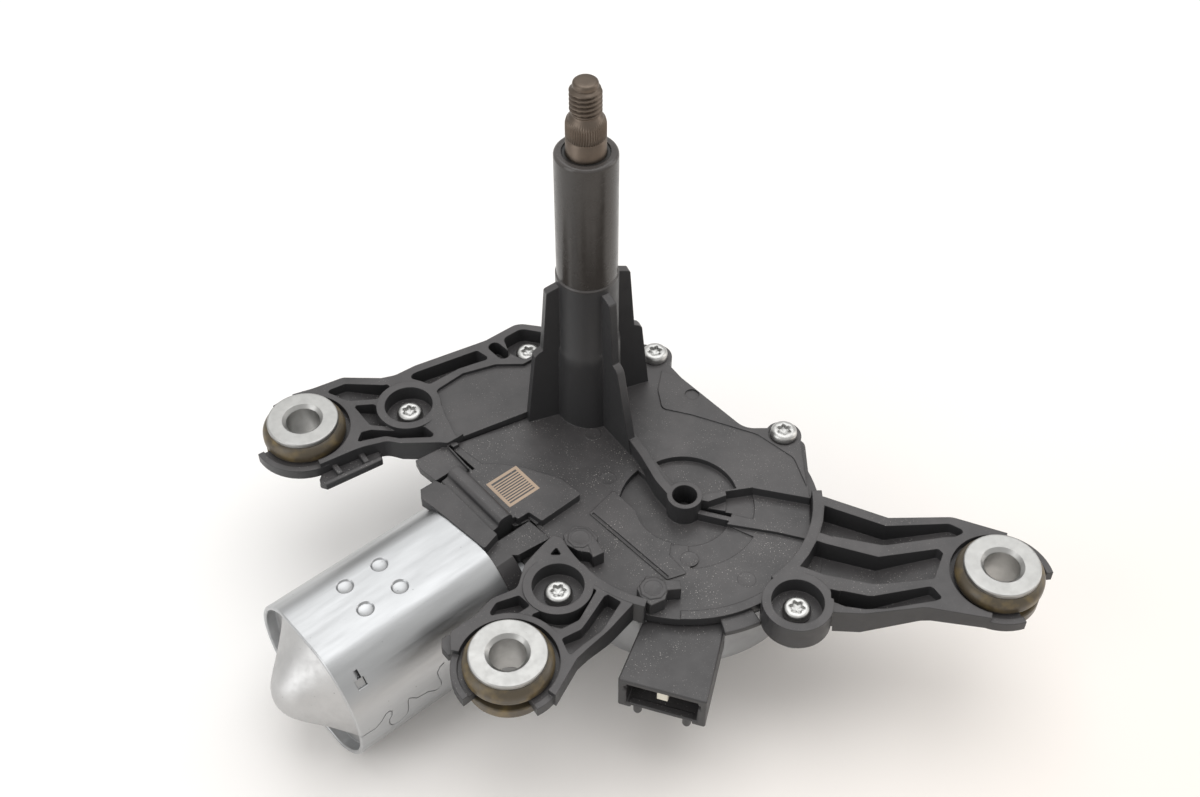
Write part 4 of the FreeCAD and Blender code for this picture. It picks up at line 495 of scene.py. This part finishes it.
def cut_mesh(mesh, cutters):
    """The mesh with closed cutter parts taken away, one after another."""
    for part in cutters:
        tool = bpy.data.objects.new("tool", mesh_of("tool", as_outward(part)))
        work = bpy.data.objects.new("work", mesh)
        for item in (tool, work):
            bpy.context.scene.collection.objects.link(item)
        modifier = work.modifiers.new("cut", "BOOLEAN")
        modifier.operation = "DIFFERENCE"
        modifier.solver = "EXACT"
        modifier.object = tool
        bpy.context.view_layer.update()
        graph = bpy.context.evaluated_depsgraph_get()
        mesh = bpy.data.meshes.new_from_object(work.evaluated_get(graph))
        bpy.data.objects.remove(work)
        bpy.data.objects.remove(tool)
        if not mesh.vertices:
            raise RuntimeError("a cut left nothing of the mesh")
    return mesh


def copied_mesh(node):
    """Closed copy of a node's mesh, without its stored normals."""
    mesh = NODES[node].data.copy()
    work = bmesh.new()
    work.from_mesh(mesh)
    bmesh.ops.remove_doubles(work, verts=work.verts, dist=1e-7)
    work.to_mesh(mesh)
    work.free()
    for name in ("custom_normal", "sharp_face"):
        if name in mesh.attributes:
            mesh.attributes.remove(mesh.attributes[name])
    return mesh


# Cover: the moulding with its finer cuts, and the small forms that stand on it

def ring_edge_cutter():
    """Takes the rim down to the plate between the connector and the front screw well."""
    inner_r, outer_r, well_r = 33.2, 36.4, 8.92
    connector_az, well_az = -141.0, -92.3
    left_standing = 0.25
    along_well = arc(WELL_E, well_r, 87.7, 124.6, 10)
    last_x, last_y = along_well[-1]
    outer_az = math.degrees(math.atan2(last_y - HUB[1], last_x - HUB[0]))
    inner = arc(HUB, inner_r, connector_az, well_az)
    outer = arc(HUB, outer_r, outer_az, connector_az)
    outline = inner + along_well + outer
    return prism(outline, PLATE_Z + left_standing, RIM_Z + CUT_OVER)


def cover_moulding():
    """The cover, cut down at the rim, a screw well, the tongue and the rib, with longer pockets in arm C."""
    pocket_floor_z, pocket_over = -101.6, 3.0
    pad_skin = 0.02
    pockets = [[(35.5, 7.99), (36.25, 3.0), (36.3, -0.99), (39.6, -0.99), (39.6, 7.99)],
               [(36.1, -3.81), (35.2, -9.0), (33.9, -13.2), (40.4, -13.3), (40.0, -3.75)],
               [(42.6, -16.9), (43.4, -20.3), (47.6, -20.5), (46.6, -16.3)]]
    tongue = [(-76.0, 20.0), (-53.0, 14.0), (-52.4, 21.9), (-61.0, 24.5), (-67.1, 25.9), (-76.0, 25.9)]
    rib_end = [(-40.6, 9.2), (-36.7, 9.0), (-36.6, -0.5), (-41.2, -0.7)]
    rib_foot = [(-42.6, -3.0), (-36.0, -3.0), (-36.3, 0.3), (-42.4, 0.3)]
    skirt_outer, skirt_inner, skirt_low_z = 9.4, 4.6, -108.0
    cutters = [ring_edge_cutter(),
               arc_band(WELL_E, skirt_outer, skirt_inner, 0.0, 359.9, skirt_low_z, SEAM_Z - 0.05, 48),
               prism(tongue, SEAM_Z - 1.0, PLATE_Z + 0.2),
               prism(rib_end, PAD_Z + pad_skin + 0.01, RIM_Z + pocket_over),
               prism(rib_foot, PAD_Z + pad_skin, RIM_Z + CUT_OVER)]
    for pocket in pockets:
        cutters.append(prism(in_frame(pocket, HUB, ARM_C_AZ), pocket_floor_z, RIM_Z + pocket_over))
    mesh = cut_mesh(copied_mesh("cover"), cutters)
    piece = add_object("cover_moulding", mesh, "black_moulding", sharp=30.0)
    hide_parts("cover")


def cover_lugs():
    """Two eight-sided blocks with a step below and a short stub each."""
    crowns = [(LUG_PLACES[0], 3.3, 0.0), (LUG_PLACES[1], 3.5, 14.0)]
    stubs = [[(-33.6, -39.4), (-30.9, -38.2), (-32.2, -44.5), (-35.5, -43.9)],
             [(-28.6, -63.2), (-27.2, -60.0), (-23.5, -63.4), (-25.1, -65.6)]]
    feet = [[(-38.1, -36.2), (-36.6, -33.4), (-32.4, -33.0), (-30.0, -35.6), (-30.2, -39.6), (-32.4, -41.4),
             (-36.4, -40.6)],
            [(-34.5, -62.0), (-33.4, -58.2), (-29.0, -56.8), (-26.6, -59.4), (-26.8, -63.0), (-30.2, -65.2),
             (-34.0, -64.4)]]
    foot_over, stub_over = 0.05, 0.2
    crown_corner, foot_corner = 0.25, 0.3
    low = PLATE_Z - SINK
    parts = []
    for (centre, radius, spin), stub, foot in zip(crowns, stubs, feet):
        octagon = arc(centre, radius, spin + 22.5, spin + 337.5, 7)
        parts.append(prism(with_corners(octagon, crown_corner), low, LUG_TOP_Z))
        parts.append(prism(with_corners(foot, foot_corner), low, LUG_Z + foot_over))
        parts.append(prism(stub, low, LUG_Z + stub_over))
    add_piece("cover_lugs", parts, "black_moulding", bevel=0.2)


def cover_ledge():
    """Lower shelf outside the rim, from the connector to the front screw well."""
    top = -100.6
    shelf = arc_band(HUB, 40.2, 35.0, -118.0, -104.0, SEAM_Z, top, 30)
    add_piece("cover_ledge", [shelf], "black_moulding", bevel=0.25)


def tongue_rail():
    """Clip rail under arm A: a shelf with a bead on its outer edge and two cross ribs."""
    low, shelf_top, bead_top, rib_top = -100.2, -99.0, -97.9, -97.4
    rib_sink = 0.4
    shelf = [(-73.6, 23.6, 0.8), (-72.4, 21.9, 0.8), (-56.0, 19.6, 0.8), (-54.6, 23.6), (-61.0, 25.6),
             (-71.0, 27.0)]
    bead = [(-73.3, 23.5, 0.5), (-72.5, 21.8, 0.5), (-56.0, 19.5, 0.5), (-55.5, 20.8, 0.5), (-72.0, 23.2)]
    ribs = [[(-68.2, 22.6), (-66.7, 22.3), (-66.3, 27.2), (-67.9, 27.4)],
            [(-60.6, 21.4), (-59.1, 21.1), (-58.6, 25.0), (-60.2, 25.5)]]
    parts = [prism(shelf, low, shelf_top), prism(bead, low, bead_top)]
    parts += [prism(rib, shelf_top - rib_sink, rib_top) for rib in ribs]
    add_piece("tongue_rail", parts, "black_moulding", bevel=0.3)


def slope_height(x, y):
    """Level of the field that falls from the motor towards the hub."""
    start_x, start_y, start_z = -38.0, 9.8, -97.3
    fall, length, downhill_az = 2.4, 38.0, -60.0
    downhill = math.radians(downhill_az)
    run = (x - start_x) * math.cos(downhill) + (y - start_y) * math.sin(downhill)
    return start_z - fall * run / length


def ejector_marks():
    """Faint round marks that the mould's pins leave, with a ridge 0.045 mm high around them."""
    places = [(-13.4, -23.9, PLATE_Z), (-14.9, -57.8, PLATE_Z), (-8.3, -72.0, PLATE_Z)]
    places += [(x, y, LUG_TOP_Z) for x, y in reversed(LUG_PLACES)]
    profile = [(2.4, -0.5), (2.4, 0.01), (2.28, 0.045), (2.16, 0.012), (0.4, 0.012)]
    count = 40
    verts, faces = turned_profile(profile, (-6.2, -9.2), count)
    parts = [([(x, y, z + slope_height(x, y)) for x, y, z in verts], faces)]
    for x, y, level in places:
        parts.append(turned_profile([(radius, z + level) for radius, z in profile], (x, y), count))
    add_piece("ejector_marks", parts, "black_moulding")


def marking_patch():
    """Plain pale square with parallel hatching, where such parts are marked."""
    x0, x1, y0, y1 = -40.6, -30.5, -16.3, -6.1
    edge, pitch, bar, first = 0.9, 0.85, 0.42, 0.6
    z0, z1 = PAD_Z - 0.02, PAD_Z + 0.03
    inner_x0, inner_x1, inner_y0, inner_y1 = x0 + edge, x1 - edge, y0 + edge, y1 - edge
    outlines = [rect(x0, x1, y0, inner_y0), rect(x0, x1, inner_y1, y1)]
    outlines += [rect(x0, inner_x0, inner_y0, inner_y1), rect(inner_x1, x1, inner_y0, inner_y1)]
    for i in range(int((inner_y1 - inner_y0) / pitch)):
        y = inner_y0 + (i + first) * pitch
        outlines.append(rect(inner_x0, inner_x1, y, y + bar))
    piece = add_piece("marking_patch", [prism(outline, z0, z1) for outline in outlines], "black_moulding")
    piece.data.materials.clear()
    piece.data.materials.append(plain("pale etching", (0.46, 0.35, 0.26), 0.6, 0.0, 0.02))


# Spindle with its thread and knurl

def ease(value, low, high):
    """Soft step from 0 at low to 1 at high."""
    t = min(1.0, max(0.0, (value - low) / (high - low)))
    return t * t * (3 - 2 * t)


def knurled(base, share):
    """Radius around a ring of the knurl, as a function of the share of a turn."""
    teeth, tooth_depth = 48, 0.26
    return lambda turn: base + share * tooth_depth * abs((turn * teeth) % 1.0 * 2 - 1)


def threaded(z, low, high, pitch):
    """Radius around a ring of the thread, which fades in at low and tapers off at high."""
    crest, root, neck_r = 3.93, 3.22, 3.45
    fade_in, taper_from, taper_to, taper = 0.7, 0.9, 0.2, 1.1
    plain_share = 1 - ease(z, low, low + fade_in)
    limit = crest - taper * ease(z, high - taper_from, high + taper_to)

    def radius(turn):
        phase = (z / pitch - turn) % 1.0
        form = min(1.0, max(0.0, 1.35 * abs(phase * 2 - 1) - 0.1))
        r = root + (crest - root) * form
        return min(r + (neck_r - r) * plain_share, limit)

    return radius


def spindle():
    count, rings_per_pitch = 192, 12
    pitch, low, high = 1.25, 0.5, 7.7
    shaft = [(4.0, -105.3), (4.0, -102.8), (5.0, -102.8), (5.0, -86.2), (4.7, -85.9), (4.7, -28.6),
             (5.0, -28.3), (5.0, -6.75), (4.8, -6.5)]
    knurl = [(4.72, -6.2, 0.0), (4.72, -5.9, 1.0), (4.72, -4.0, 1.0), (4.70, -2.4, 1.0), (4.45, -1.3, 0.9),
             (4.3, -0.9, 0.0)]
    neck = [(4.0, -0.25), (3.75, 0.0), (3.55, 0.25)]
    tip = [(3.12, 7.85), (3.12, 8.5), (3.0, 8.9), (2.7, 9.18), (2.3, 9.28), (1.2, 9.3)]
    steps = int((high - low) / pitch * rings_per_pitch)
    levels = [low + (high - low) * i / steps for i in range(steps + 1)]
    rings = [circle(r, z, count) for r, z in shaft]
    rings += [circle(knurled(base, share), z, count) for base, z, share in knurl]
    rings += [circle(r, z, count) for r, z in neck]
    rings += [circle(threaded(z, low, high, pitch), z, count) for z in levels]
    rings += [circle(r, z, count) for r, z in tip]
    piece = add_piece("spindle_turned", [loft(rings)], "spindle_steel", "spindle_body", 50.0)
    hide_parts("spindle")


# Cover screws with six-lobed recesses

def six_lobed(radius, spin):
    """Radius around a six-lobed recess, as a function of the share of a turn."""
    lobe_height = 0.30
    return lambda turn: radius + lobe_height * math.cos(6 * (2 * math.pi * turn - spin))


def cover_screws():
    low_seat, high_seat = -99.6, -95.9
    places = [(-40.4, 28.9, low_seat), (-0.9, 25.6, low_seat), (24.4, -0.6, high_seat),
              (30.9, -45.6, high_seat), (*WELL_E, low_seat), (-47.8, -45.0, low_seat)]
    count, spin_step = 72, 17.0
    outside = [(1.2, -9.0), (1.9, -8.0), (2.0, -7.4), (2.0, -0.1), (3.3, 0.0), (3.6, 0.25), (3.6, 1.25),
               (3.45, 1.85), (3.1, 2.25), (2.6, 2.45), (2.15, 2.5)]
    recess = [(1.74, 2.42), (1.62, 2.3), (1.56, 1.2)]
    floor_r, floor_z = 0.3, 0.9
    parts = []
    for index, (x, y, seat) in enumerate(places):
        spin = math.radians(spin_step * index)
        rings = [circle(r, seat + z, count, (x, y)) for r, z in outside]
        rings += [circle(six_lobed(r, spin), seat + z, count, (x, y)) for r, z in recess]
        rings.append(circle(floor_r, seat + floor_z, count, (x, y)))
        parts.append(loft(rings))
    piece = add_piece("cover_screws_torx", parts, "bright_zinc", sharp=40.0)
    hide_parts("cover_screws")


# Motor can and its end plate

def can_ring(x, inset, count=144):
    """Section of the can, moved inwards by inset: round, with a flat above and below and soft shoulders."""
    radius, flat = CAN_R - inset, CAN_FLAT - inset
    shoulder, softness = 0.5, 0.9
    ring = []
    for j in range(count):
        angle = 2 * math.pi * j / count
        y, z = radius * math.cos(angle), radius * math.sin(angle)
        over = max(0.0, abs(z) - (flat - shoulder))
        z = math.copysign(min(abs(z), flat - shoulder + shoulder * math.tanh(over / softness)), z)
        ring.append((x, MOTOR_Y + y, MOTOR_Z + z))
    return ring


def motor_ring(x, radius, count):
    """Round ring about the motor's axis."""
    angles = [2 * math.pi * j / count for j in range(count)]
    return [(x, MOTOR_Y + radius * math.cos(a), MOTOR_Z + radius * math.sin(a)) for a in angles]


def can_point(x, theta, radius):
    """Point on the round side of the can, theta from +Y towards +Z."""
    a = math.radians(theta)
    return Vector((x, MOTOR_Y + radius * math.cos(a), MOTOR_Z + radius * math.sin(a)))


def seam_cutter():
    """Thin groove along the jigsaw joint of the rolled can, through (x, theta) points."""
    knots = [(-104.9, 178), (-103.0, 178.2), (-100.0, 179), (-97.9, 176), (-96.5, 172.2), (-95.4, 171.6),
             (-94.7, 173.0), (-94.9, 176.5), (-95.9, 180), (-95.9, 185), (-95.2, 189), (-94.0, 191),
             (-92.7, 191), (-91.3, 189), (-90.5, 186), (-90.1, 181), (-90.1, 177.6), (-89.9, 174.2),
             (-89.5, 172.4), (-88.6, 173.6), (-87.4, 176.9), (-85.7, 177.9), (-84.0, 178.4), (-82.7, 181),
             (-81.5, 183), (-80.6, 183.2), (-79.9, 181.0), (-79.9, 177), (-80.3, 171), (-80.3, 167),
             (-79.2, 164), (-77.8, 163)]
    half, depth, over = 0.13, 0.35, 0.4
    degree_mm = CAN_R * math.radians(1.0)
    corners = ((1, CAN_R + over), (-1, CAN_R + over), (-1, CAN_R - depth), (1, CAN_R - depth))
    rings = []
    for i, (x, theta) in enumerate(knots):
        before, after = knots[max(i - 1, 0)], knots[min(i + 1, len(knots) - 1)]
        along = Vector((after[0] - before[0], (after[1] - before[1]) * degree_mm)).normalized()
        side = Vector((-along.y, along.x)) * half
        rings.append([can_point(x + sign * side.x, theta + sign * side.y / degree_mm, radius)
                      for sign, radius in corners])
    return loft(rings)


def can_patch(x0, x1, theta0, theta1, inner, outer):
    """Block between two angles and two radii of the can."""
    corners = rect(x0, x1, theta0, theta1)
    return loft([[can_point(x, theta, radius) for x, theta in corners] for radius in (inner, outer)])


def dimple_cutters():
    """Four round dimples on the can's flat top."""
    middle, half_x, half_y = (-82.6, -14.3), 5.2, 4.5
    top = MOTOR_Z + CAN_FLAT
    profile = [(1.5, -0.75), (1.9, -0.6), (2.1, -0.2), (2.35, 0.05), (2.4, 0.6)]
    profile = [(radius, top + z) for radius, z in profile]
    places = [(middle[0] + i * half_x, middle[1] + k * half_y) for i in (-1, 1) for k in (-1, 1)]
    return [turned_profile(profile, at, 36) for at in places]


def motor_can():
    wall, rim_wall, rim_edge = 1.8, 1.2, 0.35
    sections = [(CAN_REAR_X + rim_edge, 0.0), (CAN_MOUTH_X, 0.0), (CAN_MOUTH_X, wall), (END_PLATE_X, wall),
                (END_PLATE_X, rim_wall), (CAN_REAR_X + 0.3, rim_wall), (CAN_REAR_X, rim_wall - 0.3),
                (CAN_REAR_X, rim_edge)]
    part = closed_loft([can_ring(x, inset) for x, inset in sections])
    through = (CAN_R - 3.0, CAN_R + 1.0)
    cutters = dimple_cutters()
    cutters += [seam_cutter(), can_patch(-100.3, -97.7, 137.5, 144.0, *through),
                can_patch(-99.5, -98.3, 131.5, 137.6, *through)]
    mesh = cut_mesh(mesh_of("motor_can", as_outward(part)), cutters)
    piece = add_object("motor_can", mesh, "zinc_can", sharp=28.0)
    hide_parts("yoke_can")


def profile_at(profile, radius):
    """Depth from the tip at a radius, along a (radius, depth) line."""
    for (r0, d0), (r1, d1) in zip(profile, profile[1:]):
        if radius <= r1:
            return d0 + (d1 - d0) * (radius - r0) / (r1 - r0)
    return profile[-1][1]


def open_share(theta):
    """How far the end plate is cut back at an angle: 0 on the cone, 1 in the middle of a gap."""
    gaps = ((8.0, 34.0), (238.0, 33.0))
    soft = 9.0
    share = 0.0
    for middle, half in gaps:
        away = abs((theta - middle + 180.0) % 360.0 - 180.0)
        share = max(share, 1.0 - ease(away, half - soft, half + soft))
    return share


def cone_ring(radius, count):
    """Ring of the end plate's face, between the cone's depth and the gaps' depth."""
    tip = -114.9
    lobe = [(0.0, 0.0), (2.0, 0.2), (4.0, 0.8), (6.0, 1.9), (8.0, 3.4), (10.0, 5.2), (13.0, 7.8),
            (16.0, 10.2), (18.0, 11.7), (19.4, 12.8), (20.2, 13.5)]
    gap = [(0.0, 0.0), (2.0, 0.22), (4.0, 0.95), (6.0, 2.3), (8.0, 4.4), (9.5, 7.5), (11.0, 11.0),
           (12.2, 13.1), (12.8, 13.5), (20.2, 13.5)]
    flat = CAN_FLAT - 1.85
    ring = []
    for j in range(count):
        theta = 360.0 * j / count
        share = open_share(theta)
        depth = (1 - share) * profile_at(lobe, radius) + share * profile_at(gap, radius)
        y, z = radius * math.cos(math.radians(theta)), radius * math.sin(math.radians(theta))
        ring.append((tip + depth, MOTOR_Y + y, MOTOR_Z + min(flat, max(-flat, z))))
    return ring


def pressed_end_plate():
    """Round-nosed cone that spreads to the can's wall, cut back to a flat in two places, with a tongue."""
    count = 180
    thickness, seat_r, boss_r, seat_depth, boss_depth = 1.6, 7.45, 4.0, 8.6, 11.0
    radii = [0.6, 1.4, 2.3, 3.3, 4.4, 5.6, 6.8, 8.0, 9.0, 10.0, 10.8, 11.5, 12.2, 12.8, 13.5, 14.5, 15.6,
             16.6, 17.5, 18.3, 19.0, 19.6, 20.1]
    back = END_PLATE_X + thickness
    rings = [cone_ring(radius, count) for radius in radii]
    rings.append([(back, y, z) for x, y, z in rings[-1]])
    for radius, x in ((seat_r, back), (seat_r, END_PLATE_X - seat_depth), (boss_r, END_PLATE_X - seat_depth),
                      (boss_r, END_PLATE_X - boss_depth)):
        rings.append(motor_ring(x, radius, count))
    tongue = can_patch(-100.2, -97.8, 137.6, 143.9, CAN_R - 2.4, CAN_R - 0.7)
    parts = [as_outward(loft(rings)), as_outward(tongue)]
    piece = add_piece("end_plate_pressed", parts, "zinc_plate", sharp=45.0)
    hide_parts("end_plate")


# Connector socket

def in_socket(l0, l1, t0, t1, z0, z1):
    """Block along and across the socket's direction, from its root."""
    return box_in(SOCKET_ROOT, SOCKET_AZ, l0, l1, t0, t1, z0, z1)


def socket():
    """Open socket with rounded edges, a keyed mouth, a lip in it, two small feet under it and a pale key."""
    reach, half, wall, height = 19.6, 11.2, 1.6, 11.2
    root, taper, corner = -5.0, 1.4, 0.5
    back, side_wall, over = 6.0, 2.2, 1.0
    top = -102.9
    low, ceiling = top - height, top - wall
    outline = [(root, -half + taper), (reach, -half, corner), (reach, half, corner), (root, half - taper)]
    shell = prism(in_frame(outline, SOCKET_ROOT, SOCKET_AZ), low, top)
    cutters = [in_socket(back, reach + over, -half + side_wall, half - side_wall, low + wall, ceiling)]
    slot_at, slot_half = 8.5, 1.2
    for side in (-1, 1):
        across = (side * slot_at - slot_half, side * slot_at + slot_half)
        cutters.append(in_socket(back + 1.0, reach + over, *across, ceiling - 2.6, ceiling - 0.9))
    notch_inset = 3.4
    across = (-half + notch_inset, half - notch_inset)
    cutters.append(in_socket(reach - 1.4, reach + over, *across, low - 1.0, low + 0.9))
    mesh = cut_mesh(mesh_of("socket", as_outward(shell)), cutters)
    piece = add_object("connector_socket", mesh, "black_socket", sharp=30.0, bevel=0.35)
    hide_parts("connector_housing")

    lip_inset, foot_across, foot_back = 3.2, 6.3, 1.2
    parts = [in_socket(reach - 2.2, reach - 0.2, -half + lip_inset, half - lip_inset, low + 0.7, low + 1.7)]
    foot = [(0.5, low - 2.6), (0.9, low - 2.3), (1.1, low - 1.8), (1.1, low + 1.2)]
    for across in (-foot_across, foot_across):
        at = in_frame([(reach - foot_back, across)], SOCKET_ROOT, SOCKET_AZ)[0]
        parts.append(turned_profile(foot, at, 24))
    add_piece("socket_feet", parts, "black_socket", bevel=0.2)
    key_half = 1.4
    key = in_socket(reach - 3.4, reach - 0.4, -key_half, key_half, ceiling - 3.2, ceiling + 0.2)
    add_piece("socket_key", [key], "washer_nylon", bevel=0.2)


cover_moulding()
cover_lugs()
cover_ledge()
tongue_rail()
ejector_marks()
marking_patch()
spindle()
cover_screws()
motor_can()
pressed_end_plate()
socket()


# Floor, light and camera

def stage():
    mesh = bpy.data.meshes.new("floor")
    half, level = 1.6, -0.1372
    mesh.from_pydata([(x, y, level) for x, y in rect(-half, half, -half, half)], [], [(0, 1, 2, 3)])
    floor = bpy.data.objects.new("floor", mesh)
    bpy.context.scene.collection.objects.link(floor)
    # Painted shade: the floor turns darker and warmer towards the camera, between y = 0.02 m and y = -0.25
    # m.
    near_shade_color, warm_from, warm_to = (0.89, 0.82, 0.76), 0.02, -0.25
    s = Shader("floor paper", (0.95, 0.94, 0.93), 0.8)
    s.mix_color(s.ramp(s.along(1), warm_from, warm_to), near_shade_color)
    floor.data.materials.append(s.material)
    floor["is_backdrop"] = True


# Each soft light: name, place, width and height, power, colour
LIGHTS = [("key", (0.28, 0.22, 1.32), (1.5, 1.5), 11.0, (1.0, 1.0, 1.0)),
          ("left", (-0.85, 0.10, 0.25), (0.45, 0.9), 2.2, (1.0, 1.0, 1.0)),
          ("right", (0.80, -0.45, 0.30), (0.45, 0.9), 2.0, (1.0, 0.97, 0.94))]
LIGHT_TARGET = Vector((-0.02, -0.03, -0.1))


def area_light(name, where, size, power, color):
    data = bpy.data.lights.new(name, "AREA")
    data.shape = "RECTANGLE"
    data.size = size[0]
    data.size_y = size[1]
    data.energy = power
    data.color = color
    lamp = bpy.data.objects.new(name, data)
    bpy.context.scene.collection.objects.link(lamp)
    lamp.location = where
    lamp.rotation_euler = (LIGHT_TARGET - Vector(where)).to_track_quat("-Z", "Y").to_euler()
    lamp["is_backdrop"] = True


def set_up_view():
    scene = bpy.context.scene
    data = bpy.data.cameras.new("camera")
    data.lens = 45.68
    data.sensor_width = 36.0
    data.clip_start = 0.01
    camera = bpy.data.objects.new("camera", data)
    scene.collection.objects.link(camera)
    camera.location = (-0.18547, -0.22224, 0.21348)
    look = Vector((-0.00119, -0.00648, -0.0909)) - camera.location
    camera.rotation_euler = look.to_track_quat("-Z", "Y").to_euler()
    scene.camera = camera
    scene.view_settings.view_transform = "Standard"
    world = bpy.data.worlds.new("world")
    world.use_nodes = True
    background = next(n for n in world.node_tree.nodes if n.type == "BACKGROUND")
    background.inputs["Color"].default_value = (1.0, 0.99, 0.97, 1.0)
    background.inputs["Strength"].default_value = 0.68
    scene.world = world
    for light in LIGHTS:
        area_light(*light)


stage()
set_up_view()

write_sizes("finished", SIZES)
